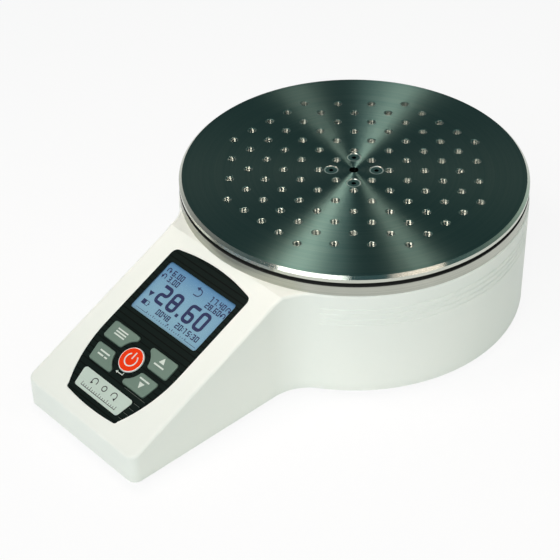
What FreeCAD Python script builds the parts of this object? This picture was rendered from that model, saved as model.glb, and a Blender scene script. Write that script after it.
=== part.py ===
import FreeCAD, Part
import math
import os

import Sketcher
from FreeCAD import Placement, Rotation, Vector

# Bench torque tester: a drilled round plate on a torque sensor, in a cast housing whose sloping
# tongue carries a display and five keys. Millimetres, +Z up, tongue towards -Y. The origin lies on
# the table, under the middle of the object's box.

doc = FreeCAD.newDocument("torque_tester")
sheet = doc.addObject("Spreadsheet::Sheet", "sizes")
pieces = []


class Size:
    """A length or angle that keeps its formula, in the sheet's words, beside its value."""

    def __init__(self, text, value):
        self.text = text
        self.value = value

    def joined(self, sign, other, value):
        return Size(f"({self.text} {sign} {as_size(other).text})", value)

    def __add__(self, other):
        return self.joined("+", other, self.value + as_size(other).value)

    def __sub__(self, other):
        return self.joined("-", other, self.value - as_size(other).value)

    def __mul__(self, other):
        return self.joined("*", other, self.value * as_size(other).value)

    def __truediv__(self, other):
        return self.joined("/", other, self.value / as_size(other).value)

    def __neg__(self):
        return Size(f"(0 - {self.text})", -self.value)

    def __radd__(self, other):
        return as_size(other) + self

    def __rmul__(self, other):
        return self * other


def as_size(value):
    return value if isinstance(value, Size) else Size(repr(value), value)


def root(size):
    return Size(f"sqrt({size.text})", math.sqrt(size.value))


def sine(angle):
    return Size(f"sin({angle.text})", math.sin(math.radians(angle.value)))


def cosine(angle):
    return Size(f"cos({angle.text})", math.cos(math.radians(angle.value)))


def tangent(angle):
    return Size(f"tan({angle.text})", math.tan(math.radians(angle.value)))


DEGREE = Size("1 deg", 1)


def size(alias, value, note):
    """One driving dimension: a cell of the sheet with its alias and a note beside it."""
    size.row += 1
    sheet.set(f"A{size.row}", note)
    sheet.set(f"B{size.row}", str(value))
    sheet.setAlias(f"B{size.row}", alias)
    return Size(f"sizes.{alias}", value)


size.row = 0

# Housing
foot_height = size("foot_height", 4.0, "table to the housing's lower edge")
drum_radius = size("drum_radius", 99.0, "outside of the drum")
deck_height = size("deck_height", 65.3, "lower edge to the flat deck")
tongue_width = size("tongue_width", 90.2, "across the tongue")
crease_inset = size("crease_inset", 1.7, "crease at the head of the slope, inside the drum's edge")
slope_angle = size("slope_angle", 25.1, "slope of the panel face, degrees")
panel_front_margin = size("panel_front_margin", 8.3, "slope below the panel")
panel_length = size("panel_length", 100.5, "panel along the slope")
panel_rear_margin = size("panel_rear_margin", 6.1, "slope above the panel")
neck_radius = size("neck_radius", 27.0, "fillet between tongue and drum")
front_corner_radius = size("front_corner_radius", 5.0, "upright front corners")
edge_radius = size("edge_radius", 1.6, "rounding of the upper edges")
wall = size("wall", 4.0, "side walls and slope wall")
roof = size("roof", 4.5, "deck thickness")
groove_height = size("groove_height", 45.9, "lowest groove above the lower edge")
groove_pitch = size("groove_pitch", 3.47, "groove to groove")
groove_width = size("groove_width", 1.2, "mouth of a groove")
groove_depth = size("groove_depth", 0.5, "depth of a groove")

# Base
base_thickness = size("base_thickness", 6.0, "bottom plate")
base_clearance = size("base_clearance", 0.3, "bottom plate to the walls")
base_boss_radius = size("base_boss_radius", 6.0, "pillars for the base screws")
base_boss_inset = size("base_boss_inset", 5.0, "pillar axis to the inner wall")
foot_radius = size("foot_radius", 9.0, "rubber foot")
foot_floor = size("foot_floor", 1.5, "rubber under the foot screw's head")
foot_screw_bite = size("foot_screw_bite", 4.5, "foot screw in the bottom plate")
rear_foot_inset = size("rear_foot_inset", 15.6, "rear feet from the inner wall")
front_foot_side = size("front_foot_side", 27.0, "front feet from the middle")
front_foot_inset = size("front_foot_inset", 29.0, "front feet behind the front face")

# Plate, collar and sensor
plate_inset = size("plate_inset", 0.5, "drilled plate and collar inside the drum's edge")
rim_thickness = size("rim_thickness", 3.65, "plate rim")
rim_chamfer = size("rim_chamfer", 1.6, "upper edge of the rim")
plate_boss_drop = size("plate_boss_drop", 4.35, "thick middle of the plate below the rim")
plate_boss_clearance = size("plate_boss_clearance", 2.0, "thick middle to the collar")
plate_gap = size("plate_gap", 2.0, "dark gap between rim and collar")
collar_height = size("collar_height", 6.55, "collar above the deck")
collar_width = size("collar_width", 5.5, "upright wall of the collar")
collar_flange_width = size("collar_flange_width", 13.0, "inner flange of the collar")
collar_flange_height = size("collar_flange_height", 2.5, "thickness of that flange")
collar_screw_bite = size("collar_screw_bite", 3.4, "collar screw in the deck")
hole_pitch = size("hole_pitch", 14.03, "grid of tapped holes")
tapped_radius = size("tapped_radius", 2.5, "tapped hole")
mouth_radius = size("mouth_radius", 2.62, "chamfered mouth of a tapped hole")
centre_radius = size("centre_radius", 2.65, "hole in the middle of the plate")
plate_screw_offset = size("plate_screw_offset", 9.0, "plate screws from the middle, both ways")
plate_screw_recess = size("plate_screw_recess", 0.3, "plate screw heads below the surface")
screw_engagement = size("screw_engagement", 7.5, "thread in the part below")
sensor_flange_radius = size("sensor_flange_radius", 34.0, "foot of the sensor")
sensor_flange_height = size("sensor_flange_height", 8.0, "thickness of that foot")
sensor_screw_circle = size("sensor_screw_circle", 26.0, "sensor screws from the axis")
torsion_bar_width = size("torsion_bar_width", 21.0, "square torsion bar")
torsion_bar_height = size("torsion_bar_height", 34.0, "length of the torsion bar")
spigot_radius = size("spigot_radius", 15.5, "round head of the torsion bar")
spigot_height = size("spigot_height", 10.0, "length of that head")
running_clearance = size("running_clearance", 0.05, "head of the bar in the hub")
hub_radius = size("hub_radius", 24.0, "sensor hub")
hub_clearance = size("hub_clearance", 4.0, "hub to the hole in the deck")
gauge_width = size("gauge_width", 8.0, "strain gauge foil")
gauge_height = size("gauge_height", 12.0, "strain gauge foil")
gauge_thickness = size("gauge_thickness", 0.2, "strain gauge foil")
stop_pin_radius = size("stop_pin_radius", 3.0, "overload stop pin")
stop_pin_seat = size("stop_pin_seat", 4.0, "depth of a stop pin in the plate")
stop_pin_reach = size("stop_pin_reach", 3.5, "depth of a stop pin in the deck")
stop_twist = size("stop_twist", 0.6, "plate twist at which the pins would touch, degrees")

# Screws: countersunk, pan head and small
screw_radius = size("screw_radius", 2.0, "main screws")
screw_head_radius = size("screw_head_radius", 3.8, "heads of the main screws")
socket_radius = size("socket_radius", 1.44, "hexagon socket, to its corners")
socket_depth = size("socket_depth", 1.3, "hexagon socket")
small_screw_radius = size("small_screw_radius", 1.25, "small screws")
small_head_radius = size("small_head_radius", 2.3, "heads of the small screws")
small_head_height = size("small_head_height", 1.6, "heads of the small screws")
small_engagement = size("small_engagement", 3.0, "thread of a small screw in its seat")

# Panel, in the plane of the slope
overlay_width = size("overlay_width", 61.4, "panel overlay")
overlay_foot_width = size("overlay_foot_width", 41.6, "panel overlay at its foot")
overlay_taper = size("overlay_taper", 41.2, "length over which the sides curve in")
overlay_arch = size("overlay_arch", 3.0, "rise of the upper edge")
overlay_sag = size("overlay_sag", 1.2, "sag of the lower edge")
overlay_corner = size("overlay_corner", 4.0, "upper corners")
overlay_foot_corner = size("overlay_foot_corner", 2.0, "lower corners")
overlay_thickness = size("overlay_thickness", 0.8, "panel overlay")
panel_clearance = size("panel_clearance", 0.15, "round the overlay and the window")
display_width = size("display_width", 53.4, "display window")
display_length = size("display_length", 33.0, "display window")
display_rear_margin = size("display_rear_margin", 10.9, "window to the top of the panel")
display_corner = size("display_corner", 1.6, "corners of the window")
window_thickness = size("window_thickness", 1.4, "clear window")
lcd_border = size("lcd_border", 1.0, "display glass beyond the window")
lcd_thickness = size("lcd_thickness", 2.8, "display glass")
frame_wall = size("frame_wall", 1.0, "frame of the display")
frame_clearance = size("frame_clearance", 0.3, "frame to the housing's opening")
key_place = size("key_place", 33.1, "power key from the foot of the panel")
power_key_radius = size("power_key_radius", 7.4, "power key")
key_arc_radius = size("key_arc_radius", 11.2, "hollow side of the grey keys")
key_split = size("key_split", 1.8, "half the gap between upper and lower keys")
key_span = size("key_span", 12.5, "power key to the far edge of a grey key")
upper_key_reach = size("upper_key_reach", 26.0, "outer side of the upper keys")
lower_key_reach = size("lower_key_reach", 24.9, "outer side of the lower keys, upper end")
lower_key_foot = size("lower_key_foot", 22.7, "outer side of the lower keys, lower end")
key_inner = size("key_inner", 5.2, "inner tip of a grey key from the middle")
key_corner = size("key_corner", 1.5, "corners of a grey key")
key_proud = size("key_proud", 0.6, "keys above the panel")
key_edge = size("key_edge", 0.3, "rounded upper edge of a key")
key_clearance = size("key_clearance", 0.3, "keys in their openings")
key_lip = size("key_lip", 0.9, "flange that keeps a key under the panel")
key_flange_thickness = size("key_flange_thickness", 1.0, "that flange")
key_travel = size("key_travel", 0.5, "stroke of a key")
key_stem_radius = size("key_stem_radius", 2.0, "stem under a key")
key_stem_place = size("key_stem_place", 16.5, "grey key stems from the middle")
switch_width = size("switch_width", 6.0, "tact switch")
switch_height = size("switch_height", 3.4, "tact switch")
switch_gap = size("switch_gap", 0.1, "stem to switch at the end of the stroke")
label_place = size("label_place", 4.9, "label from the foot of the panel")
label_length = size("label_length", 11.4, "label along the slope")
label_width = size("label_width", 40.4, "label, upper side")
label_foot_width = size("label_foot_width", 35.4, "label, lower side")
label_corner = size("label_corner", 1.8, "label corners")
label_thickness = size("label_thickness", 0.3, "label")

# Boards, sockets, battery and leads
board_depth = size("board_depth", 8.0, "face of the slope to the main board")
board_thickness = size("board_thickness", 1.6, "circuit boards")
board_width = size("board_width", 68.0, "main board")
board_start = size("board_start", 12.7, "main board from the foot of the panel")
board_rear_margin = size("board_rear_margin", 2.8, "main board to the top of the panel")
standoff_radius = size("standoff_radius", 2.5, "board standoffs")
standoff_inset = size("standoff_inset", 3.0, "standoffs from the ends of the board")
standoff_side = size("standoff_side", 20.0, "standoffs from the middle")
chip_width = size("chip_width", 12.0, "chips under the board")
chip_thickness = size("chip_thickness", 1.8, "chips under the board")
chip_pitch = size("chip_pitch", 18.0, "chip to chip")
link_width = size("link_width", 2.4, "strip between the two boards")
link_length = size("link_length", 36.0, "strip between the two boards")
link_height = size("link_height", 3.0, "strip between the two boards")
port_neck_margin = size("port_neck_margin", 2.0, "socket plate to the start of the neck fillet")
port_length = size("port_length", 56.0, "socket plate")
port_low = size("port_low", 8.0, "lower edge to the socket plate")
port_height = size("port_height", 15.0, "socket plate")
port_thickness = size("port_thickness", 1.5, "socket plate")
port_clearance = size("port_clearance", 0.2, "socket plate in its recess")
port_window_inset = size("port_window_inset", 6.0, "opening behind the plate, from its ends")
port_window_lap = size("port_window_lap", 1.5, "opening behind the plate, from its long sides")
io_board_gap = size("io_board_gap", 8.0, "wall's inside to the upright board")
usb_width = size("usb_width", 9.0, "data socket")
usb_height = size("usb_height", 5.0, "data socket")
usb_shell = size("usb_shell", 0.8, "wall of the data socket")
connector_width = size("connector_width", 16.0, "output connector")
connector_height = size("connector_height", 8.5, "output connector")
connector_proud = size("connector_proud", 2.5, "output connector beyond the plate")
jack_width = size("jack_width", 9.0, "charger jack")
jack_bore_radius = size("jack_bore_radius", 3.0, "bore of the charger jack")
jack_pin_radius = size("jack_pin_radius", 1.0, "pin of the charger jack")
socket_bore_depth = size("socket_bore_depth", 7.0, "depth of the sockets")
bracket_wall_gap = size("bracket_wall_gap", 1.4, "battery bracket to the right wall")
lead_gap = size("lead_gap", 1.0, "leads to the battery and its bracket")
battery_width = size("battery_width", 42.0, "battery")
battery_length = size("battery_length", 48.0, "battery")
battery_height = size("battery_height", 13.0, "battery")
strap_thickness = size("strap_thickness", 1.2, "battery bracket")
strap_width = size("strap_width", 12.0, "battery bracket")
strap_foot = size("strap_foot", 8.5, "feet of the battery bracket")
lead_radius = size("lead_radius", 1.5, "leads")
lead_bend = size("lead_bend", 20.0, "bend of the sensor lead")
lead_height = size("lead_height", 5.0, "leads above the base plate")
lead_inset = size("lead_inset", 4.0, "leads from the ends of the upright board")

# Places that follow from those sizes; heights are above the housing's lower edge, depths are along
# the slope's normal, and distances up the slope start at its lower edge.
slope_length = panel_front_margin + panel_length + panel_rear_margin
crease_reach = drum_radius - crease_inset
plate_radius = drum_radius - plate_inset
tongue_reach = crease_reach + slope_length * cosine(slope_angle)
front_height = deck_height - slope_length * sine(slope_angle)
drum_y = (tongue_reach - drum_radius) / 2
tongue_half = tongue_width / 2
inner_radius = drum_radius - wall
inner_half = tongue_half - wall
neck_side = tongue_half + neck_radius
neck_span = drum_radius + neck_radius
neck_reach = root(neck_span * neck_span - neck_side * neck_side)
ceiling = deck_height - roof
collar_top = deck_height + collar_height
rim_under = collar_top + plate_gap
plate_top = rim_under + rim_thickness
plate_under = rim_under - plate_boss_drop
collar_inner = plate_radius - collar_width
plate_boss_radius = collar_inner - plate_boss_clearance
flange_inner = collar_inner - collar_flange_width
sensor_flange_top = base_thickness + sensor_flange_height
hub_under = sensor_flange_top + torsion_bar_height
panel_top = panel_front_margin + panel_length
display_end = panel_top - display_rear_margin
display_start = display_end - display_length
power_place = panel_front_margin + key_place
switch_top = board_depth - switch_height
frame_half = display_width / 2 + lcd_border + frame_wall
head_cone = screw_head_radius - screw_radius


def bind(feature, prop, value):
    """Tie one property of a feature to the sheet."""
    feature.setExpression(prop, as_size(value).text)


def move(feature, x, y, z, rotation=Rotation()):
    """Put a feature at a place that follows the sheet, turned by a fixed rotation."""
    place = [as_size(x), as_size(y), as_size(z)]
    feature.Placement = Placement(Vector(*[each.value for each in place]), rotation)
    for axis, each in zip("xyz", place):
        bind(feature, f"Placement.Base.{axis}", each)
    return feature


ALONG = {
    "x": Rotation(Vector(0, 1, 0), 90),
    "y": Rotation(Vector(1, 0, 0), -90),
    "z": Rotation(),
}


def cylinder(name, radius, x, y, z, length, along="z"):
    feature = doc.addObject("Part::Cylinder", name)
    bind(feature, "Radius", radius)
    bind(feature, "Height", length)
    return move(feature, x, y, z, ALONG[along])


def cone(name, lower_radius, upper_radius, x, y, z, length):
    feature = doc.addObject("Part::Cone", name)
    bind(feature, "Radius1", lower_radius)
    bind(feature, "Radius2", upper_radius)
    bind(feature, "Height", length)
    return move(feature, x, y, z)


def hexagon(name, radius, x, y, z, length):
    feature = doc.addObject("Part::Prism", name)
    feature.Polygon = 6
    bind(feature, "Circumradius", radius)
    bind(feature, "Height", length)
    return move(feature, x, y, z)


def box(name, x0, x1, y0, y1, z0, z1):
    feature = doc.addObject("Part::Box", name)
    bind(feature, "Length", as_size(x1) - x0)
    bind(feature, "Width", as_size(y1) - y0)
    bind(feature, "Height", as_size(z1) - z0)
    return move(feature, x0, y0, z0)


def fuse(name, *shapes):
    feature = doc.addObject("Part::MultiFuse", name)
    feature.Shapes = list(shapes)
    feature.Refine = True
    return feature


def group(name, shapes):
    feature = doc.addObject("Part::Compound", name)
    feature.Links = list(shapes)
    return feature


def cut(name, base, *tools):
    feature = doc.addObject("Part::Cut", name)
    feature.Base = base
    feature.Tool = tools[0] if len(tools) == 1 else group(f"{name}_tools", tools)
    return feature


def whole(label, feature):
    """Name a sub-part. A bare block or rod is put in a group, so that it keeps its own place there."""
    if feature.TypeId in ("Part::Box", "Part::Cylinder"):
        feature = group(f"{label}_solid", [feature])
    feature.Label = label
    pieces.append(feature)
    return feature


def on_drum(label, feature):
    """Finish a sub-part drawn about the drum axis, from the housing's lower edge up."""
    feature = whole(label, feature)
    move(feature, 0, drum_y, foot_height)


def on_slope(label, feature):
    """Finish a sub-part drawn flat: x across, y up the slope, z out of the panel."""
    feature = whole(label, feature)
    tilt = Rotation(Vector(1, 0, 0), slope_angle.value)
    move(feature, 0, drum_y - tongue_reach, foot_height + front_height, tilt)
    bind(feature, "Placement.Rotation.Angle", slope_angle * DEGREE)


def new_body(name):
    return doc.addObject("PartDesign::Body", name)


def new_sketch(body, name, role="XY_Plane", lift=0):
    """A sketch on one of the body's own planes, lifted along that plane's normal."""
    sketch = body.newObject("Sketcher::SketchObject", name)
    plane = [each for each in body.Origin.OriginFeatures if each.Role == role][0]
    sketch.AttachmentSupport = [(plane, "")]
    sketch.MapMode = "FlatFace"
    sketch.AttachmentOffset = Placement(Vector(0, 0, as_size(lift).value), Rotation())
    bind(sketch, "AttachmentOffset.Base.z", lift)
    return sketch


def slope_sketch(body, name):
    """A sketch in the plane of the slope, for a body that is drawn about the drum axis."""
    sketch = new_sketch(body, name)
    turn = Rotation(Vector(1, 0, 0), slope_angle.value)
    sketch.AttachmentOffset = Placement(Vector(0, -tongue_reach.value, front_height.value), turn)
    bind(sketch, "AttachmentOffset.Base.y", -tongue_reach)
    bind(sketch, "AttachmentOffset.Base.z", front_height)
    bind(sketch, "AttachmentOffset.Rotation.Angle", slope_angle * DEGREE)
    return sketch


def pin(sketch, geometry, end, x, y):
    """Hold one point of a sketch at a place that follows the sheet."""
    for kind, value in (("DistanceX", as_size(x)), ("DistanceY", as_size(y))):
        number = sketch.addConstraint(Sketcher.Constraint(kind, -1, 1, geometry, end, value.value))
        bind(sketch, f"Constraints[{number}]", value)


def draw_circle(sketch, x, y, radius):
    radius = as_size(radius)
    centre = Vector(as_size(x).value, as_size(y).value, 0)
    number = sketch.addGeometry(Part.Circle(centre, Vector(0, 0, 1), radius.value))
    rule = sketch.addConstraint(Sketcher.Constraint("Radius", number, radius.value))
    bind(sketch, f"Constraints[{rule}]", radius)
    pin(sketch, number, 3, x, y)


def draw_outline(sketch, steps):
    """A closed outline. Each step is a point and, for an arc to the next one, its radius and turn."""
    ends = []
    spots = [Vector(as_size(step[0]).value, as_size(step[1]).value, 0) for step in steps]
    for number, step in enumerate(steps):
        start = spots[number]
        finish = spots[(number + 1) % len(steps)]
        if len(step) == 2:
            line = sketch.addGeometry(Part.LineSegment(start, finish))
            ends.append((line, 1, 2))
            continue
        radius = as_size(step[2])
        left = step[3] == "left"
        chord = finish - start
        side = Vector(-chord.y, chord.x, 0).normalize()
        rise = math.sqrt(max(radius.value ** 2 - chord.Length ** 2 / 4, 0))
        bulge = side * (rise - radius.value) if left else side * (radius.value - rise)
        middle = (start + finish) * 0.5 + bulge
        first, last = (start, finish) if left else (finish, start)
        arc = sketch.addGeometry(Part.Arc(first, middle, last))
        rule = sketch.addConstraint(Sketcher.Constraint("Radius", arc, radius.value))
        bind(sketch, f"Constraints[{rule}]", radius)
        ends.append((arc, 1, 2) if left else (arc, 2, 1))
    for number, (geometry, start, _) in enumerate(ends):
        before, _, finish = ends[number - 1]
        sketch.addConstraint(Sketcher.Constraint("Coincident", before, finish, geometry, start))
        pin(sketch, geometry, start, steps[number][0], steps[number][1])


def pad(body, name, sketch, length, downward=False):
    feature = body.newObject("PartDesign::Pad", name)
    feature.Profile = sketch
    feature.Reversed = downward
    bind(feature, "Length", length)
    return feature


def pocket(body, name, sketch, length, along_normal=False):
    feature = body.newObject("PartDesign::Pocket", name)
    feature.Profile = sketch
    feature.Reversed = along_normal
    bind(feature, "Length", length)
    return feature


def slot_across(body, name, sketch, width):
    """A pocket that reaches the same way to both sides of its sketch."""
    feature = pocket(body, name, sketch, width)
    feature.SideType = "Symmetric"
    return feature


def round_edges(body, name, base, radius, chosen):
    """Round the edges of a feature that a test picks out."""
    doc.recompute()
    names = [f"Edge{number + 1}" for number, edge in enumerate(base.Shape.Edges) if chosen(edge)]
    feature = body.newObject("PartDesign::Fillet", name)
    feature.Base = (base, names)
    bind(feature, "Radius", radius)
    return feature


# Two places closer than this are taken as one
TOUCH = 0.001


def upright(edge):
    spots = [vertex.Point for vertex in edge.Vertexes]
    return len(spots) == 2 and math.hypot(spots[0].x - spots[1].x, spots[0].y - spots[1].y) < TOUCH


def rounded_rectangle(x0, x1, y0, y1, radius):
    """A rectangle with rounded corners as the steps of an outline."""
    return [
        (x0 + radius, y0),
        (x1 - radius, y0, radius, "left"),
        (x1, y0 + radius),
        (x1, y1 - radius, radius, "left"),
        (x1 - radius, y1),
        (x0 + radius, y1, radius, "left"),
        (x0, y1 - radius),
        (x0, y0 + radius, radius, "left"),
    ]


def countersunk_screw(name, x, y, top, length, upward=True):
    """A countersunk socket screw. Its head lies at the given height and faces up or down."""
    if upward:
        head = cone(f"{name}_head", screw_radius, screw_head_radius, x, y, top - head_cone, head_cone)
        shank = cylinder(f"{name}_shank", screw_radius, x, y, top - length, length - head_cone)
        socket = hexagon(f"{name}_socket", socket_radius, x, y, top - socket_depth, socket_depth)
    else:
        head = cone(f"{name}_head", screw_head_radius, screw_radius, x, y, top, head_cone)
        shank = cylinder(f"{name}_shank", screw_radius, x, y, top + head_cone, length - head_cone)
        socket = hexagon(f"{name}_socket", socket_radius, x, y, top, socket_depth)
    return cut(name, fuse(f"{name}_blank", head, shank), socket)


def small_screw(name, x, y, under_head, length, head_up=True):
    """A small pan-head screw with its head above or below the seat at the given height."""
    if head_up:
        head = cylinder(f"{name}_head", small_head_radius, x, y, under_head, small_head_height)
        shank = cylinder(f"{name}_shank", small_screw_radius, x, y, under_head - length, length)
    else:
        head_low = under_head - small_head_height
        head = cylinder(f"{name}_head", small_head_radius, x, y, head_low, small_head_height)
        shank = cylinder(f"{name}_shank", small_screw_radius, x, y, under_head, length)
    return fuse(name, head, shank)


# Places of the repeated pieces
BASE_SCREW_ANGLES = (30, 90, 150, 210, 330)
COLLAR_SCREW_ANGLES = (0, 60, 120, 180, 240, 300)
SENSOR_SCREW_ANGLES = (45, 135, 225, 315)
REAR_FOOT_ANGLES = (49, 131)
CORNERS = ((1, 1), (-1, 1), (-1, -1), (1, -1))
SIDES = (-1, 1)

# The stop pins lie between the tapped holes, this many half pitches across and up from the middle
STOP_PIN_STEPS = (9, 1)


def around(radius, angle):
    turn = math.radians(angle)
    return radius * round(math.cos(turn), 6), radius * round(math.sin(turn), 6)


front_boss_x = inner_half - base_boss_inset
front_boss_y = -(tongue_reach - wall - base_boss_inset)
base_screw_spots = [around(inner_radius - base_boss_inset, angle) for angle in BASE_SCREW_ANGLES]
base_screw_spots += [(front_boss_x * side, front_boss_y) for side in SIDES]
foot_spots = [around(inner_radius - rear_foot_inset, angle) for angle in REAR_FOOT_ANGLES]
foot_spots += [(front_foot_side * side, front_foot_inset - tongue_reach) for side in SIDES]
sensor_screw_spots = [around(sensor_screw_circle, angle) for angle in SENSOR_SCREW_ANGLES]
collar_screw_spots = [around((collar_inner + flange_inner) / 2, angle) for angle in COLLAR_SCREW_ANGLES]
half_pitch = hole_pitch / 2
stop_pin_spots = [tuple(half_pitch * steps * side for steps in STOP_PIN_STEPS) for side in SIDES]
plate_screw_spots = [(plate_screw_offset * sx, plate_screw_offset * sy) for sx, sy in CORNERS]
base_screw_length = base_thickness + screw_engagement
stop_pin_swing = half_pitch * math.hypot(*STOP_PIN_STEPS) * tangent(stop_twist)


def overlay_outline(grow):
    """The panel's outline: arched top, sides that curve in below, and a slightly sagging foot."""
    half = overlay_width / 2 + grow
    foot = overlay_foot_width / 2 + grow
    top = panel_top + grow
    low = panel_front_margin - grow
    shoulder = top - overlay_arch
    waist = panel_front_margin + overlay_taper
    heel = low + overlay_sag
    side_rise = waist - heel - overlay_foot_corner
    side_run = half - foot
    side_radius = (side_rise * side_rise + side_run * side_run) / (2 * side_run)
    arch_half = half - overlay_corner
    arch_radius = (arch_half * arch_half + overlay_arch * overlay_arch) / (2 * overlay_arch)
    sag_half = foot - overlay_foot_corner
    sag_radius = (sag_half * sag_half + overlay_sag * overlay_sag) / (2 * overlay_sag)
    return [
        (-sag_half, heel, sag_radius, "left"),
        (sag_half, heel, overlay_foot_corner, "left"),
        (foot, heel + overlay_foot_corner, side_radius, "left"),
        (half, waist),
        (half, shoulder - overlay_corner, overlay_corner, "left"),
        (arch_half, shoulder, arch_radius, "left"),
        (-arch_half, shoulder, overlay_corner, "left"),
        (-half, shoulder - overlay_corner),
        (-half, waist, side_radius, "left"),
        (-foot, heel + overlay_foot_corner, overlay_foot_corner, "left"),
    ]


def grey_key_outline(side, row, grow):
    """One grey key: a bar with a hollow end round the power key. Row is 1 above it and -1 below."""
    arc = key_arc_radius - grow
    near = key_split - grow
    far = key_span + grow
    tip = key_inner - grow
    reach = (upper_key_reach if row > 0 else lower_key_reach) + grow
    foot = (upper_key_reach if row > 0 else lower_key_foot) + grow
    waist = root(arc * arc - near * near)
    rise = root(arc * arc - tip * tip)
    hollow = "left" if side * row > 0 else "right"
    return [
        (waist * side, power_place + near * row, arc, hollow),
        (tip * side, power_place + rise * row),
        (tip * side, power_place + far * row),
        (foot * side, power_place + far * row),
        (reach * side, power_place + near * row),
    ]


# Housing: drum and tongue cast in one piece, with a slope, a neck fillet and four fine grooves
GROOVE_COUNT = 4
housing = new_body("housing_body")
sketch = new_sketch(housing, "drum_circle")
draw_circle(sketch, 0, 0, drum_radius)
pad(housing, "drum", sketch, deck_height)
sketch = new_sketch(housing, "tongue_rectangle")
draw_outline(sketch, [
    (-tongue_half, -tongue_reach),
    (tongue_half, -tongue_reach),
    (tongue_half, 0),
    (-tongue_half, 0),
])
blank = pad(housing, "tongue", sketch, deck_height)


def neck_edge(edge):
    """The upright edges where the sides of the tongue run into the drum."""
    spot = edge.CenterOfMass
    return upright(edge) and abs(abs(spot.x) - tongue_half.value) < TOUCH and spot.y > -drum_radius.value


def front_edge(edge):
    return upright(edge) and abs(edge.CenterOfMass.y + tongue_reach.value) < TOUCH


blank = round_edges(housing, "neck_fillet", blank, neck_radius, neck_edge)
blank = round_edges(housing, "front_corners", blank, front_corner_radius, front_edge)
sketch = new_sketch(housing, "slope_wedge", "YZ_Plane")
overshoot = wall
wedge_top = deck_height + overshoot
draw_outline(sketch, [
    (-tongue_reach - overshoot, front_height - overshoot * tangent(slope_angle)),
    (-crease_reach, deck_height),
    (-crease_reach, wedge_top),
    (-tongue_reach - overshoot, wedge_top),
])
blank = slot_across(housing, "slope", sketch, drum_radius * 2)


def upper_edge(edge):
    """Edges of the deck and the slope, apart from the crease between them."""
    start, end = edge.ParameterRange
    spots = [edge.valueAt(place) for place in (start, (start + end) / 2, end)]
    rise = tangent(slope_angle).value
    on_deck = all(abs(spot.z - deck_height.value) < TOUCH for spot in spots)
    climbs = [front_height.value + (spot.y + tongue_reach.value) * rise for spot in spots]
    on_face = all(abs(spot.z - climb) < TOUCH for spot, climb in zip(spots, climbs))
    return on_deck != on_face


blank = round_edges(housing, "upper_edges", blank, edge_radius, upper_edge)
sketch = new_sketch(housing, "groove_notches", "YZ_Plane")
for count in range(GROOVE_COUNT):
    level = groove_height + groove_pitch * count
    draw_outline(sketch, [
        (drum_radius - groove_depth, level),
        (drum_radius + groove_depth, level - groove_width),
        (drum_radius + groove_depth, level + groove_width),
    ])
neck_angle = Size(
    f"asin({neck_side.text} / {neck_span.text})",
    math.degrees(math.asin(neck_side.value / neck_span.value)),
)
full_turn = Size("360 deg", 360)
grooves = housing.newObject("PartDesign::Groove", "grooves")
grooves.Profile = sketch
grooves.ReferenceAxis = (sketch, ["V_Axis"])
grooves.Midplane = True
bind(grooves, "Angle", full_turn - neck_angle * 2)
sketch = new_sketch(housing, "drum_hollow_circle")
draw_circle(sketch, 0, 0, inner_radius)
pocket(housing, "drum_hollow", sketch, ceiling, True)
sketch = new_sketch(housing, "tongue_hollow_side", "YZ_Plane")
ceiling_drop = wall / cosine(slope_angle)
hollow_head = -crease_reach - (roof - ceiling_drop) / tangent(slope_angle)
draw_outline(sketch, [
    (wall - tongue_reach, 0),
    (0, 0),
    (0, ceiling),
    (hollow_head, ceiling),
    (wall - tongue_reach, front_height + wall * tangent(slope_angle) - ceiling_drop),
])
slot_across(housing, "tongue_hollow", sketch, inner_half * 2)
sketch = new_sketch(housing, "pillar_circles", lift=base_thickness)
for spot in base_screw_spots[:len(BASE_SCREW_ANGLES)]:
    draw_circle(sketch, *spot, base_boss_radius)
pad(housing, "pillars", sketch, ceiling - base_thickness + roof / 2)
sketch = new_sketch(housing, "front_pillar_circles", lift=base_thickness)
for spot in base_screw_spots[len(BASE_SCREW_ANGLES):]:
    draw_circle(sketch, *spot, base_boss_radius)
front_pillar_edge = wall + base_boss_inset - base_boss_radius
front_ceiling = front_height + front_pillar_edge * tangent(slope_angle) - ceiling_drop / 2
pad(housing, "front_pillars", sketch, front_ceiling - base_thickness)
sketch = new_sketch(housing, "pillar_bores", lift=base_thickness)
for spot in base_screw_spots:
    draw_circle(sketch, *spot, screw_radius)
pocket(housing, "pillar_threads", sketch, screw_engagement, True)
sketch = new_sketch(housing, "deck_circles", lift=ceiling)
draw_circle(sketch, 0, 0, hub_radius + hub_clearance)
for spot in stop_pin_spots:
    draw_circle(sketch, *spot, stop_pin_radius + stop_pin_swing)
for spot in collar_screw_spots:
    draw_circle(sketch, *spot, screw_radius)
pocket(housing, "deck_holes", sketch, roof, True)
sketch = slope_sketch(housing, "panel_recess_outline")
draw_outline(sketch, overlay_outline(panel_clearance))
pocket(housing, "panel_recess", sketch, overlay_thickness)
sketch = slope_sketch(housing, "panel_opening_outlines")
frame_room = frame_half + frame_clearance
frame_lap = lcd_border + frame_wall + frame_clearance
draw_outline(sketch, [
    (-frame_room, display_start - frame_lap),
    (frame_room, display_start - frame_lap),
    (frame_room, display_end + frame_lap),
    (-frame_room, display_end + frame_lap),
])
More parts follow.
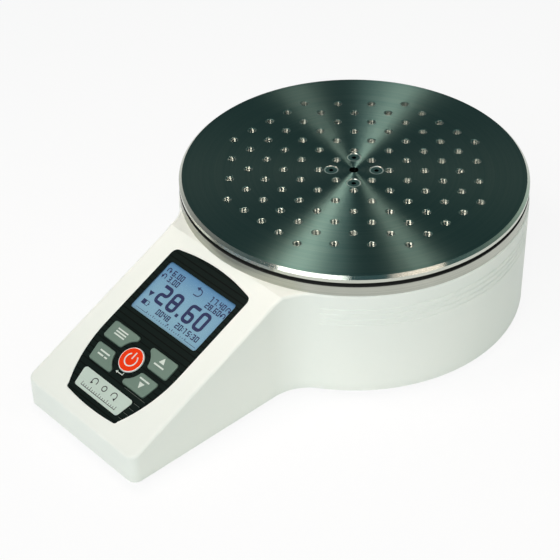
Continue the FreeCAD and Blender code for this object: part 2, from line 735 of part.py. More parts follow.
# Cuts run deeper than the wall, so that they come out inside
through_wall = wall * 1.5
key_room = key_lip + key_clearance
draw_outline(sketch, [
    (-lower_key_foot - key_room, power_place - key_span - key_room),
    (lower_key_foot + key_room, power_place - key_span - key_room),
    (upper_key_reach + key_room, power_place),
    (upper_key_reach + key_room, power_place + key_span + key_room),
    (-upper_key_reach - key_room, power_place + key_span + key_room),
    (-upper_key_reach - key_room, power_place),
])
pocket(housing, "panel_openings", sketch, through_wall)
port_end = -neck_reach - port_neck_margin
port_start = port_end - port_length
port_top = port_low + port_height
sketch = new_sketch(housing, "port_recess_outline", "YZ_Plane", -tongue_half)
draw_outline(sketch, [
    (port_start - port_clearance, port_low - port_clearance),
    (port_end + port_clearance, port_low - port_clearance),
    (port_end + port_clearance, port_top + port_clearance),
    (port_start - port_clearance, port_top + port_clearance),
])
pocket(housing, "port_recess", sketch, port_thickness, True)
sketch = new_sketch(housing, "port_opening_outline", "YZ_Plane", -tongue_half)
port_window_start = port_start + port_window_inset
port_window_end = port_end - port_window_inset
draw_outline(sketch, [
    (port_window_start, port_low + port_window_lap),
    (port_window_end, port_low + port_window_lap),
    (port_window_end, port_top - port_window_lap),
    (port_window_start, port_top - port_window_lap),
])
port_middle = port_low + port_height / 2
port_screw_spots = [port_start + port_window_inset / 2, port_end - port_window_inset / 2]
for spot in port_screw_spots:
    draw_circle(sketch, spot, port_middle, small_screw_radius)
pocket(housing, "port_opening", sketch, through_wall, True)
on_drum("housing", housing)

# Base plate: closes the housing from below and carries the sensor
base_radius = inner_radius - base_clearance
base_half = inner_half - base_clearance
base = fuse(
    "base_blank",
    cylinder("base_disc", base_radius, 0, 0, 0, base_thickness),
    box("base_tongue", -base_half, base_half, wall + base_clearance - tongue_reach, 0, 0, base_thickness),
)
seats = []
for number, spot in enumerate(base_screw_spots + sensor_screw_spots):
    seats.append(fuse(
        f"base_seat_{number}",
        cone(f"base_sink_{number}", screw_head_radius, screw_radius, *spot, 0, head_cone),
        cylinder(f"base_bore_{number}", screw_radius, *spot, 0, base_thickness),
    ))
for number, spot in enumerate(foot_spots):
    seats.append(cylinder(f"foot_bore_{number}", small_screw_radius, *spot, 0, foot_screw_bite))
foot_x1 = inner_half - bracket_wall_gap
strap_x1 = foot_x1 - strap_foot
battery_x1 = strap_x1 - strap_thickness
battery_x0 = battery_x1 - battery_width
strap_x0 = battery_x0 - strap_thickness
foot_x0 = strap_x0 - strap_foot
battery_lead_y = port_window_start + lead_inset
strap_y0 = battery_lead_y + lead_radius + lead_gap
strap_y1 = strap_y0 + strap_width
strap_middle = strap_y0 + strap_width / 2
bracket_spots = [((foot_x0 + strap_x0) / 2, strap_middle), ((strap_x1 + foot_x1) / 2, strap_middle)]
for number, spot in enumerate(bracket_spots):
    low = base_thickness - small_engagement
    seats.append(cylinder(f"bracket_bore_{number}", small_screw_radius, *spot, low, small_engagement))
on_drum("base_plate", cut("base_drilled", base, *seats))
screws = []
for number, spot in enumerate(base_screw_spots):
    screws.append(countersunk_screw(f"base_screw_{number}", *spot, 0, base_screw_length, False))
on_drum("base_screws", group("base_screw_set", screws))

# Rubber feet, each with a screw whose head is sunk in the rubber
feet = []
screws = []
foot_sink = foot_floor + small_head_height
for number, spot in enumerate(foot_spots):
    feet.append(cut(
        f"foot_{number}",
        cylinder(f"foot_blank_{number}", foot_radius, *spot, -foot_height, foot_height),
        fuse(
            f"foot_hollow_{number}",
            cylinder(f"foot_sink_{number}", small_head_radius, *spot, -foot_height, foot_sink),
            cylinder(f"foot_hole_{number}", small_screw_radius, *spot, -foot_height, foot_height),
        ),
    ))
    seat = foot_sink - foot_height
    screws.append(small_screw(f"foot_screw_{number}", *spot, seat, foot_screw_bite - seat, False))
on_drum("rubber_feet", group("foot_set", feet))
on_drum("foot_screws", group("foot_screw_set", screws))

# Torque sensor: foot, square torsion bar and round head in one piece, with four foil gauges
sensor = fuse(
    "sensor_blank",
    cylinder("sensor_foot", sensor_flange_radius, 0, 0, base_thickness, sensor_flange_height),
    box(
        "torsion_bar",
        -torsion_bar_width / 2, torsion_bar_width / 2, -torsion_bar_width / 2, torsion_bar_width / 2,
        sensor_flange_top, hub_under,
    ),
    cylinder("sensor_head", spigot_radius, 0, 0, hub_under, spigot_height),
)
bores = []
screws = []
for number, spot in enumerate(sensor_screw_spots):
    bores.append(cylinder(f"sensor_bore_{number}", screw_radius, *spot, base_thickness, screw_engagement))
    screws.append(countersunk_screw(f"sensor_screw_{number}", *spot, 0, base_screw_length, False))
on_drum("torque_sensor", cut("sensor_drilled", sensor, *bores))
on_drum("sensor_screws", group("sensor_screw_set", screws))
foils = []
foil_low = sensor_flange_top + torsion_bar_height / 2 - gauge_height / 2
bar_half = torsion_bar_width / 2
for side in SIDES:
    inner = bar_half * side
    outer = (bar_half + gauge_thickness) * side
    low, high = (inner, outer) if side > 0 else (outer, inner)
    foil_high = foil_low + gauge_height
    foils.append(box(f"foil_x_{side}", low, high, -gauge_width / 2, gauge_width / 2, foil_low, foil_high))
    foils.append(box(f"foil_y_{side}", -gauge_width / 2, gauge_width / 2, low, high, foil_low, foil_high))
on_drum("strain_gauges", group("foil_set", foils))

# Collar ring: upright wall and an inner flange that is screwed to the deck
collar = cut(
    "collar_blank",
    cylinder("collar_outside", plate_radius, 0, 0, deck_height, collar_height),
    fuse(
        "collar_inside",
        cylinder("collar_well", collar_inner, 0, 0, deck_height + collar_flange_height, collar_height),
        cylinder("collar_bore", flange_inner, 0, 0, deck_height, collar_height),
    ),
)
seats = []
screws = []
flange_top = deck_height + collar_flange_height
sink_low = flange_top - head_cone
collar_screw_length = collar_flange_height + collar_screw_bite
for number, spot in enumerate(collar_screw_spots):
    seats.append(fuse(
        f"collar_seat_{number}",
        cone(f"collar_sink_{number}", screw_radius, screw_head_radius, *spot, sink_low, head_cone),
        cylinder(f"collar_hole_{number}", screw_radius, *spot, deck_height, collar_flange_height),
    ))
    screws.append(countersunk_screw(f"collar_screw_{number}", *spot, flange_top, collar_screw_length))
on_drum("collar_ring", cut("collar_drilled", collar, *seats))
on_drum("collar_screws", group("collar_screw_set", screws))

# Sensor hub: sits on the head of the torsion bar and carries the plate
hub = cut(
    "hub_bored",
    cylinder("hub_blank", hub_radius, 0, 0, hub_under, plate_under - hub_under),
    cylinder("hub_bore", spigot_radius + running_clearance, 0, 0, hub_under, spigot_height),
)
bores = []
for number, spot in enumerate(plate_screw_spots):
    low = plate_under - screw_engagement
    bores.append(cylinder(f"hub_thread_{number}", screw_radius, *spot, low, screw_engagement))
on_drum("sensor_hub", cut("hub_drilled", hub, *bores))

# Torque plate: chamfered rim, thick middle, a square grid of tapped holes and four sunk screws
# The grid runs to five holes from the middle along each row, and is cut off across its corners
GRID_REACH = 5
GRID_SUM = 7
grid = []
for column in range(-GRID_REACH, GRID_REACH + 1):
    for line in range(-GRID_REACH, GRID_REACH + 1):
        if 0 < abs(column) + abs(line) <= GRID_SUM:
            grid.append((hole_pitch * column, hole_pitch * line))
chamfer_low = plate_top - rim_chamfer
plate = fuse(
    "plate_blank",
    cylinder("plate_rim", plate_radius, 0, 0, rim_under, rim_thickness - rim_chamfer),
    cone("plate_chamfer", plate_radius, plate_radius - rim_chamfer, 0, 0, chamfer_low, rim_chamfer),
    cylinder("plate_middle", plate_boss_radius, 0, 0, plate_under, plate_boss_drop),
)
plate_thickness = plate_top - plate_under
mouth_depth = mouth_radius - tapped_radius
bores = [cylinder("centre_hole", centre_radius, 0, 0, plate_under, plate_thickness)]
mouths = []
for number, spot in enumerate(grid):
    bores.append(cylinder(f"tapped_{number}", tapped_radius, *spot, plate_under, plate_thickness))
    mouths.append(cone(
        f"mouth_{number}", tapped_radius, mouth_radius, *spot, plate_top - mouth_depth, mouth_depth))
for number, spot in enumerate(stop_pin_spots):
    bores.append(cylinder(f"stop_seat_{number}", stop_pin_radius, *spot, plate_under, stop_pin_seat))
sink_top = screw_head_radius + plate_screw_recess
sink_depth = sink_top - screw_radius
sink_low = plate_top - sink_depth
screws = []
for number, spot in enumerate(plate_screw_spots):
    bores.append(cylinder(f"plate_bore_{number}", screw_radius, *spot, plate_under, plate_thickness))
    mouths.append(cone(f"plate_sink_{number}", screw_radius, sink_top, *spot, sink_low, sink_depth))
    head_level = plate_top - plate_screw_recess
    length = plate_thickness - plate_screw_recess + screw_engagement
    screws.append(countersunk_screw(f"plate_screw_{number}", *spot, head_level, length))
on_drum("torque_plate", cut("plate_finished", cut("plate_drilled", plate, *bores), *mouths))
on_drum("plate_screws", group("plate_screw_set", screws))

# Stop pins: pressed into the plate, free in the deck until the plate has turned too far
pins = []
pin_low = deck_height - stop_pin_reach
pin_length = plate_under + stop_pin_seat - pin_low
for number, spot in enumerate(stop_pin_spots):
    pins.append(cylinder(f"stop_pin_{number}", stop_pin_radius, *spot, pin_low, pin_length))
on_drum("stop_pins", group("stop_pin_set", pins))

# Panel overlay: thin black sheet in the recess of the slope, open at the window and the keys
overlay = new_body("overlay_body")
sketch = new_sketch(overlay, "overlay_edge")
draw_outline(sketch, overlay_outline(as_size(0)))
pad(overlay, "overlay_sheet", sketch, overlay_thickness, True)
sketch = new_sketch(overlay, "overlay_cutouts")
window_half = display_width / 2
draw_outline(sketch, rounded_rectangle(
    -window_half - panel_clearance, window_half + panel_clearance,
    display_start - panel_clearance, display_end + panel_clearance, display_corner + panel_clearance,
))
draw_circle(sketch, 0, power_place, power_key_radius + key_clearance)
for side in SIDES:
    for row in SIDES:
        draw_outline(sketch, grey_key_outline(side, row, key_clearance))
openings = pocket(overlay, "overlay_openings", sketch, overlay_thickness)


def key_opening_edge(edge):
    """The upright edges at the corners of the grey keys' openings, without the seam of the round one."""
    spot = edge.CenterOfMass
    across = upper_key_reach.value + key_clearance.value + TOUCH
    along = key_span.value + key_clearance.value + TOUCH
    return upright(edge) and abs(spot.x) < across and TOUCH < abs(spot.y - power_place.value) < along


round_edges(overlay, "opening_corners", openings, key_corner + key_clearance, key_opening_edge)
on_slope("panel_overlay", overlay)

# Display: clear window, glass, frame and backlight, stacked on the main board
window = new_body("window_body")
sketch = new_sketch(window, "window_edge")
draw_outline(sketch, rounded_rectangle(-window_half, window_half, display_start, display_end, display_corner))
pad(window, "window_sheet", sketch, window_thickness, True)
on_slope("display_window", window)
glass_half = window_half + lcd_border
glass_low = display_start - lcd_border
glass_high = display_end + lcd_border
glass_under = window_thickness + lcd_thickness
on_slope("lcd_panel", box(
    "lcd_glass", -glass_half, glass_half, glass_low, glass_high, -glass_under, -window_thickness))
on_slope("lcd_backlight", box(
    "lcd_light", -glass_half, glass_half, glass_low, glass_high, -board_depth, -glass_under))
on_slope("lcd_frame", cut(
    "lcd_frame_ring",
    box(
        "lcd_frame_outside", -frame_half, frame_half, glass_low - frame_wall, glass_high + frame_wall,
        -board_depth, -window_thickness,
    ),
    box("lcd_frame_inside", -glass_half, glass_half, glass_low, glass_high, -board_depth, -window_thickness),
))


def finish_key(body, cap, stem_x, stem_y):
    """Round a key's upper edge and give it the stem that works its switch."""
    round_edges(
        body, "key_edge", cap, key_edge,
        lambda edge: all(abs(vertex.Z - key_proud.value) < TOUCH for vertex in edge.Vertexes),
    )
    stem = new_sketch(body, "key_stem_circle", lift=-overlay_thickness - key_flange_thickness)
    draw_circle(stem, stem_x, stem_y, key_stem_radius)
    stem_length = switch_top - key_travel - switch_gap - overlay_thickness - key_flange_thickness
    pad(body, "key_stem", stem, stem_length, True)


# Power key: round cap, flange under the panel and stem
power = new_body("power_key_body")
sketch = new_sketch(power, "power_flange_circle", lift=-overlay_thickness)
draw_circle(sketch, 0, power_place, power_key_radius + key_lip)
pad(power, "power_flange", sketch, key_flange_thickness, True)
sketch = new_sketch(power, "power_cap_circle", lift=-overlay_thickness)
draw_circle(sketch, 0, power_place, power_key_radius)
cap = pad(power, "power_cap", sketch, overlay_thickness + key_proud)
finish_key(power, cap, 0, power_place)
on_slope("power_key", power)

# Four grey keys round the power key
KEY_NAMES = {
    (-1, 1): "upper_left_key",
    (1, 1): "upper_right_key",
    (-1, -1): "lower_left_key",
    (1, -1): "lower_right_key",
}
key_middle = (key_split + key_span) / 2
for (side, row), label in KEY_NAMES.items():
    key = new_body(f"{label}_body")
    sketch = new_sketch(key, "grey_flange_outline", lift=-overlay_thickness)
    reach = upper_key_reach if row > 0 else lower_key_reach
    foot = upper_key_reach if row > 0 else lower_key_foot
    inner = root(key_arc_radius * key_arc_radius - key_split * key_split) + key_corner + key_lip
    low, high = key_split - key_lip, key_span + key_lip
    draw_outline(sketch, [
        (inner * side, power_place + low * row),
        (inner * side, power_place + high * row),
        ((foot + key_lip) * side, power_place + high * row),
        ((reach + key_lip) * side, power_place + low * row),
    ])
    pad(key, "grey_flange", sketch, key_flange_thickness, True)
    sketch = new_sketch(key, "grey_cap_outline", lift=-overlay_thickness)
    draw_outline(sketch, grey_key_outline(side, row, as_size(0)))
    cap = pad(key, "grey_cap", sketch, overlay_thickness + key_proud)
    cap = round_edges(
        key, "key_corners", cap, key_corner,
        lambda edge: upright(edge) and edge.CenterOfMass.z > -overlay_thickness.value,
    )
    finish_key(key, cap, key_stem_place * side, power_place + key_middle * row)
    on_slope(label, key)

# Info label: pale plate stuck to the foot of the panel
plaque = new_body("label_body")
sketch = new_sketch(plaque, "label_edge")
label_low = panel_front_margin + label_place
label_high = label_low + label_length
draw_outline(sketch, [
    (-label_foot_width / 2, label_low),
    (label_foot_width / 2, label_low),
    (label_width / 2, label_high),
    (-label_width / 2, label_high),
])
blank = pad(plaque, "label_sheet", sketch, label_thickness)
round_edges(plaque, "label_corners", blank, label_corner, upright)
on_slope("info_label", plaque)

# Main board with its switches, chips, standoffs and screws
board_low = panel_front_margin + board_start
board_high = panel_top - board_rear_margin
board_half = board_width / 2
board_under = board_depth + board_thickness
standoff_spots = []
for side in SIDES:
    standoff_spots.append((standoff_side * side, board_low + standoff_inset))
    standoff_spots.append((standoff_side * side, board_high - standoff_inset))
holes = []
tubes = []
screws = []
for number, spot in enumerate(standoff_spots):
    holes.append(cylinder(f"board_hole_{number}", small_screw_radius, *spot, -board_under, board_thickness))
    tubes.append(cut(
        f"standoff_{number}",
        cylinder(f"standoff_blank_{number}", standoff_radius, *spot, -board_depth, board_depth - wall),
        cylinder(f"standoff_bore_{number}", small_screw_radius, *spot, -board_depth, small_engagement),
    ))
    length = board_thickness + small_engagement
    screws.append(small_screw(f"board_screw_{number}", *spot, -board_under, length, False))
board = box("board_sheet", -board_half, board_half, board_low, board_high, -board_under, -board_depth)
on_slope("main_board", cut("board_drilled", board, *holes))
on_slope("board_standoffs", group("standoff_set", tubes))
on_slope("board_screws", group("board_screw_set", screws))
switches = []
switch_spots = [(as_size(0), power_place)]
switch_spots += [(key_stem_place * side, power_place + key_middle * row) for side, row in KEY_NAMES]
half = switch_width / 2
for number, (x, y) in enumerate(switch_spots):
    switches.append(box(
        f"switch_{number}", x - half, x + half, y - half, y + half, -board_depth, -switch_top))
on_slope("key_switches", group("switch_set", switches))
chips = []
for number in (-1, 0, 1):
    low = (board_low + board_high) / 2 + chip_pitch * number - chip_width / 2
    chips.append(box(
        f"chip_{number}", -chip_width / 2, chip_width / 2, low, low + chip_width,
        -board_under - chip_thickness, -board_under,
    ))
on_slope("board_chips", group("chip_set", chips))

# Upright board behind the sockets, cut to the slope, and the strip that joins it to the main board
io_outer = io_board_gap - inner_half
io_inner = io_outer + board_thickness
io_rise = (board_under + link_height) / cosine(slope_angle)
upright_board = new_body("io_board_body")
sketch = new_sketch(upright_board, "io_board_side", "YZ_Plane", io_outer)
draw_outline(sketch, [
    (port_window_start, base_thickness),
    (port_window_end, base_thickness),
    (port_window_end, front_height + (port_window_end + tongue_reach) * tangent(slope_angle) - io_rise),
    (port_window_start, front_height + (port_window_start + tongue_reach) * tangent(slope_angle) - io_rise),
])
pad(upright_board, "io_board_sheet", sketch, board_thickness)
on_drum("io_board", upright_board)
link_middle = io_outer + board_thickness / 2
link_depth = board_under + link_height / 2
port_window_middle = (port_window_start + port_window_end) / 2
link_centre = (port_window_middle + tongue_reach - link_depth * sine(slope_angle)) / cosine(slope_angle)
on_slope("board_link", box(
    "link_strip", link_middle - link_width / 2, link_middle + link_width / 2,
    link_centre - link_length / 2, link_centre + link_length / 2, -board_under - link_height, -board_under,
))

# Socket plate on the left side, with three sockets that reach back to the upright board
port_face = -tongue_half
port_back = port_face + port_thickness
SOCKET_GAPS = 4
socket_room = port_window_end - port_window_start - usb_width - connector_width - jack_width
port_gap = socket_room / SOCKET_GAPS
usb_start = port_window_start + port_gap
usb_end = usb_start + usb_width
connector_start = usb_end + port_gap
connector_end = connector_start + connector_width
jack_start = connector_end + port_gap
jack_end = jack_start + jack_width
usb_low = port_middle - usb_height / 2
usb_high = port_middle + usb_height / 2
connector_low = port_middle - connector_height / 2
connector_high = port_middle + connector_height / 2
jack_low = port_middle - jack_width / 2
jack_high = port_middle + jack_width / 2
jack_middle = (jack_start + jack_end) / 2
openings = [
    box("usb_way", port_face, port_back, usb_start, usb_end, usb_low, usb_high),
    box("connector_way", port_face, port_back, connector_start, connector_end, connector_low, connector_high),
    box("jack_way", port_face, port_back, jack_start, jack_end, jack_low, jack_high),
]
screws = []
for number, spot in enumerate(port_screw_spots):
    openings.append(cylinder(
        f"port_hole_{number}", small_screw_radius, port_face, spot, port_middle, port_thickness, "x"))
    head = cylinder(
        f"port_head_{number}", small_head_radius, port_face - small_head_height, spot, port_middle,
        small_head_height, "x",
    )
    shank = cylinder(f"port_shank_{number}", small_screw_radius, port_face, spot, port_middle, wall, "x")
    screws.append(fuse(f"port_screw_{number}", head, shank))
port_sheet = box("port_sheet", port_face, port_back, port_start, port_end, port_low, port_top)
on_drum("port_plate", cut("port_plate_cut", port_sheet, *openings))
on_drum("port_screws", group("port_screw_set", screws))
on_drum("usb_socket", cut(
    "usb_shell",
    box("usb_block", port_face, io_outer, usb_start, usb_end, usb_low, usb_high),
    box(
        "usb_mouth", port_face, port_face + socket_bore_depth, usb_start + usb_shell, usb_end - usb_shell,
        usb_low + usb_shell, usb_high - usb_shell,
    ),
))
on_drum("data_connector", box(
    "connector_block", port_face - connector_proud, io_outer, connector_start, connector_end,
    connector_low, connector_high,
))
on_drum("charger_jack", fuse(
    "jack_whole",
    cut(
        "jack_shell",
        box("jack_block", port_face, io_outer, jack_start, jack_end, jack_low, jack_high),
        cylinder(
            "jack_bore", jack_bore_radius, port_face, jack_middle, port_middle, socket_bore_depth, "x"),
    ),
    cylinder("jack_pin", jack_pin_radius, port_face, jack_middle, port_middle, socket_bore_depth, "x"),
))

# Battery pack under a strap, in front of the sensor's lead
sensor_lead_y = port_window_end - lead_inset
battery_y1 = sensor_lead_y - lead_radius - lead_gap
battery_y0 = battery_y1 - battery_length
battery_top = base_thickness + battery_height
on_drum("battery_pack", box(
    "battery_block", battery_x0, battery_x1, battery_y0, battery_y1, base_thickness, battery_top))
strap_top = battery_top + strap_thickness
strap_seat = base_thickness + strap_thickness
strap = [
    box("strap_top", strap_x0, strap_x1, strap_y0, strap_y1, battery_top, strap_top),
    box("strap_left_leg", strap_x0, battery_x0, strap_y0, strap_y1, base_thickness, strap_top),
    box("strap_right_leg", battery_x1, strap_x1, strap_y0, strap_y1, base_thickness, strap_top),
    box("strap_left_foot", foot_x0, strap_x0, strap_y0, strap_y1, base_thickness, strap_seat),
    box("strap_right_foot", strap_x1, foot_x1, strap_y0, strap_y1, base_thickness, strap_seat),
]
holes = []
screws = []
bracket_screw_length = strap_thickness + small_engagement
for number, spot in enumerate(bracket_spots):
    holes.append(cylinder(f"strap_hole_{number}", small_screw_radius, *spot, base_thickness, strap_thickness))
    screws.append(small_screw(f"bracket_screw_{number}", *spot, strap_seat, bracket_screw_length))
on_drum("battery_bracket", cut("strap_drilled", fuse("strap_blank", *strap), *holes))
on_drum("bracket_screws", group("bracket_screw_set", screws))

# Leads: one from the sensor's foot with a single bend, one straight across from the battery
lead_level = base_thickness + lead_height
bend_y = sensor_lead_y + lead_bend
bend = doc.addObject("Part::Torus", "lead_elbow")
bind(bend, "Radius1", lead_bend)
bind(bend, "Radius2", lead_radius)
bend.Angle3 = 90
move(bend, -lead_bend, bend_y, lead_level, Rotation(Vector(0, 0, 1), -90))
on_drum("sensor_lead", fuse(
    "sensor_lead_run",
    cylinder("lead_run", lead_radius, 0, bend_y, lead_level, -sensor_flange_radius - bend_y, "y"),
    bend,
    cylinder("lead_tail", lead_radius, io_inner, sensor_lead_y, lead_level, -lead_bend - io_inner, "x"),
))
on_drum("battery_lead", cylinder(
    "battery_lead_run", lead_radius, io_inner, battery_lead_y, lead_level, battery_x0 - io_inner, "x"))

doc.recompute()
faults = [f"{each.Label}: {each.State}" for each in doc.Objects if set(each.State) & {"Invalid", "Error"}]
faults += [f"{each.Label}: no shape" for each in pieces if each.Shape.isNull() or not each.Shape.isValid()]
if faults:
    raise SystemExit("\n".join(faults))
os.makedirs("parts", exist_ok=True)
for piece in pieces:
    piece.Shape.exportStep(f"parts/{piece.Label}.step")
    print(piece.Label, len(piece.Shape.Solids), round(piece.Shape.Volume, 1))
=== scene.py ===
"""Bench torque tester: the finish of every piece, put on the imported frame. Metres, +Z up."""
import math

import bmesh
import bpy
from mathutils import Matrix, Vector


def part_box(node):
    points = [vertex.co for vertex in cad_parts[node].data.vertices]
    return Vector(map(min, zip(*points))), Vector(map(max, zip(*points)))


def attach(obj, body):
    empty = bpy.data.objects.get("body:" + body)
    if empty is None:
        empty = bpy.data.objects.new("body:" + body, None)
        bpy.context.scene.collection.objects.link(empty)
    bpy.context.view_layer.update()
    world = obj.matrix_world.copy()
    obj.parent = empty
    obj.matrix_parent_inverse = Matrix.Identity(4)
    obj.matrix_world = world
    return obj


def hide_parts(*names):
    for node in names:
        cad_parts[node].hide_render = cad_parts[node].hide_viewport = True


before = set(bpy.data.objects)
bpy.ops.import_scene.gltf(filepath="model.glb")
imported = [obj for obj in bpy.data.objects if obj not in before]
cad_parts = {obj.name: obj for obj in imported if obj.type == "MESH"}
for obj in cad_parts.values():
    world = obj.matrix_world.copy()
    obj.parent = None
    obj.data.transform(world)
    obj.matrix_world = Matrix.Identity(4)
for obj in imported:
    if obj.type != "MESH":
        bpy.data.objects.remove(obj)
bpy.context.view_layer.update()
MM = 0.001


# Bottom plate: a milled aluminium plate that closes the housing from below. The cutter has left fine
# straight marks across it, and seven countersunk steel screws hold it.
class Shade:
    """One value in a finish. Arithmetic on it adds the Math nodes."""

    def __init__(self, finish, socket):
        self.finish = finish
        self.socket = socket

    def __add__(self, other):
        return self.finish.math("ADD", self, other)

    def __radd__(self, other):
        return self.finish.math("ADD", other, self)

    def __sub__(self, other):
        return self.finish.math("SUBTRACT", self, other)

    def __rsub__(self, other):
        return self.finish.math("SUBTRACT", other, self)

    def __mul__(self, other):
        return self.finish.math("MULTIPLY", self, other)

    def __rmul__(self, other):
        return self.finish.math("MULTIPLY", other, self)

    def __truediv__(self, other):
        return self.finish.math("DIVIDE", self, other)

    def __lt__(self, other):
        return self.finish.math("LESS_THAN", self, other)

    def __gt__(self, other):
        return self.finish.math("GREATER_THAN", self, other)


class Finish:
    """The nodes of a material or of the world, and the shader that they feed."""

    def __init__(self, owner, **constants):
        owner.use_nodes = True
        self.owner = owner
        self.tree = owner.node_tree
        shaders = ("BSDF_PRINCIPLED", "BACKGROUND")
        self.shader = [node for node in self.tree.nodes if node.type in shaders][0]
        names = {socket.name.lower().replace(" ", "_"): socket.name for socket in self.shader.inputs}
        self.feed(self.shader, {names[key]: value for key, value in constants.items()})

    def feed(self, node, values):
        """Fill a node's sockets, by name or by number: a Shade is linked, and any other value is set."""
        live = [socket for socket in node.inputs if socket.enabled]
        for key, value in values.items():
            named = live if isinstance(key, int) else [socket for socket in live if socket.name == key]
            socket = named[key if isinstance(key, int) else 0]
            if isinstance(value, Shade):
                self.tree.links.new(value.socket, socket)
            else:
                socket.default_value = value

    def node(self, kind, settings=None, values=None):
        """Any node: its type, its settings, then the values or links of its sockets."""
        node = self.tree.nodes.new(f"ShaderNode{kind}")
        for key, value in (settings or {}).items():
            setattr(node, key, value)
        self.feed(node, values or {})
        return {socket.name: Shade(self, socket) for socket in node.outputs if socket.enabled}

    def math(self, operation, *values):
        return self.node("Math", {"operation": operation}, dict(enumerate(values)))["Value"]

    def spot(self):
        """Where a point of the piece lies in the part's frame."""
        return self.node("TexCoord")["Object"]

    def place(self):
        """The same point as a vector, then its x, y and z."""
        spot = self.spot()
        parts = self.node("SeparateXYZ", values={"Vector": spot})
        return spot, parts["X"], parts["Y"], parts["Z"]

    def noise(self, spot, scale, detail=2.0):
        return self.node("TexNoise", values={"Vector": spot, "Scale": scale, "Detail": detail})["Fac"]

    def stretched(self, spot, stretch):
        return self.node("Mapping", values={"Vector": spot, "Scale": stretch})["Vector"]

    def mix(self, mask, first, second):
        """The first colour where the mask is 0, the second where it is 1."""
        sockets = {"Factor": mask, "A": first, "B": second}
        return self.node("Mix", {"data_type": "RGBA"}, sockets)["Result"]

    def bump(self, height, depth):
        """Small relief from a value between 0 and 1, of a depth in metres."""
        sockets = {"Height": height, "Distance": depth, "Strength": 1.0}
        self.feed(self.shader, {"Normal": self.node("Bump", values=sockets)["Normal"]})

    def put_on(self, *names):
        """Give the finish to pieces of the frame."""
        for name in names:
            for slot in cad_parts[name].material_slots:
                slot.material = self.owner


def finish(name, **constants):
    return Finish(bpy.data.materials.new(name), **constants)


def tone(red, green, blue):
    """A colour as it looks on a screen, 0 to 255, as the linear colour that a shader takes."""
    return (*[((each / 255 + 0.055) / 1.055) ** 2.4 for each in (red, green, blue)], 1.0)


milled = finish("milled_aluminium", metallic=1.0)
spot = milled.spot()
marks = milled.noise(milled.stretched(spot, (40.0, 2600.0, 40.0)), 1.0, 3.0)
cloud = milled.noise(spot, 55.0)
milled.feed(milled.shader, {
    "Base Color": milled.mix(marks * 0.6 + cloud * 0.4, tone(168, 170, 172), tone(205, 207, 208)),
    "Roughness": 0.28 + marks * 0.16 + cloud * 0.06,
})
milled.bump(marks, 0.03 * MM)
milled.put_on("base_plate")

screw_steel = finish("screw_steel", metallic=1.0)
spot = screw_steel.spot()
grain = screw_steel.noise(spot, 900.0, 3.0)
screw_steel.feed(screw_steel.shader, {
    "Base Color": screw_steel.mix(grain, tone(150, 152, 152), tone(208, 210, 208)),
    "Roughness": 0.22 + grain * 0.18,
})
screw_steel.put_on("base_screws", "sensor_screws", "board_screws", "bracket_screws", "foot_screws")

# Feet: four moulded rubber buttons, each held by a screw whose head is sunk in the rubber. The mould
# leaves a rounded lower edge and two raised rings that grip the bench.
FOOT_RADIUS = 9.0 * MM
FOOT_EDGE = 1.2 * MM
FOOT_SCREW_RIM = 1.0 * MM
FOOT_SCREW_DEPTH = 1.1 * MM
REAR_FOOT_REACH = 79.4 * MM
REAR_FOOT_TURN = math.radians(49)
FRONT_FOOT_SIDE = 27.0 * MM
SMOOTH_ANGLE = math.radians(35)
# From the edge inwards: how wide each ring is, and how far it steps up from the one before
FOOT_RINGS = ((1.8, 0.0), (0.4, 0.35), (0.9, 0.0), (0.4, -0.35), (1.0, 0.0), (0.4, 0.35))
foot_low, foot_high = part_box("rubber_feet")
foot_height = foot_high.z - foot_low.z


def choose(kind, test):
    """In edit mode, select the points, edges or faces that a test picks out."""
    mesh = bmesh.from_edit_mesh(bpy.context.object.data)
    bpy.ops.mesh.select_mode(type=kind)
    bpy.ops.mesh.select_all(action="DESELECT")
    for item in {"VERT": mesh.verts, "EDGE": mesh.edges, "FACE": mesh.faces}[kind]:
        item.select_set(test(item))
    mesh.select_flush_mode()
    bmesh.update_edit_mesh(bpy.context.object.data)


def settle(piece):
    """Put a piece's place, turn and scale into its mesh."""
    bpy.ops.object.select_all(action="DESELECT")
    piece.select_set(True)
    bpy.context.view_layer.objects.active = piece
    bpy.ops.object.transform_apply(location=True, rotation=True, scale=True)
    return piece


def join(name, pieces):
    """Make several pieces one, at the origin."""
    bpy.ops.object.select_all(action="DESELECT")
    for piece in pieces:
        piece.select_set(True)
    bpy.context.view_layer.objects.active = pieces[0]
    if len(pieces) > 1:
        bpy.ops.object.join()
    piece = settle(bpy.context.object)
    piece.name = name
    return piece


def dress(piece, look, body, slot, *replaced):
    """Give a finished piece its material, its body and the nodes that it stands for. The slot is not used.
    """
    piece.data.materials.clear()
    piece.data.materials.append(look.owner)
    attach(piece, body)
    if replaced:
        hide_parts(*replaced)


def modify(piece, kind, **settings):
    """Add a modifier and apply it."""
    bpy.context.view_layer.objects.active = piece
    modifier = piece.modifiers.new(kind.title(), kind)
    for key, value in settings.items():
        setattr(modifier, key, value)
    bpy.ops.object.modifier_apply(modifier=modifier.name)


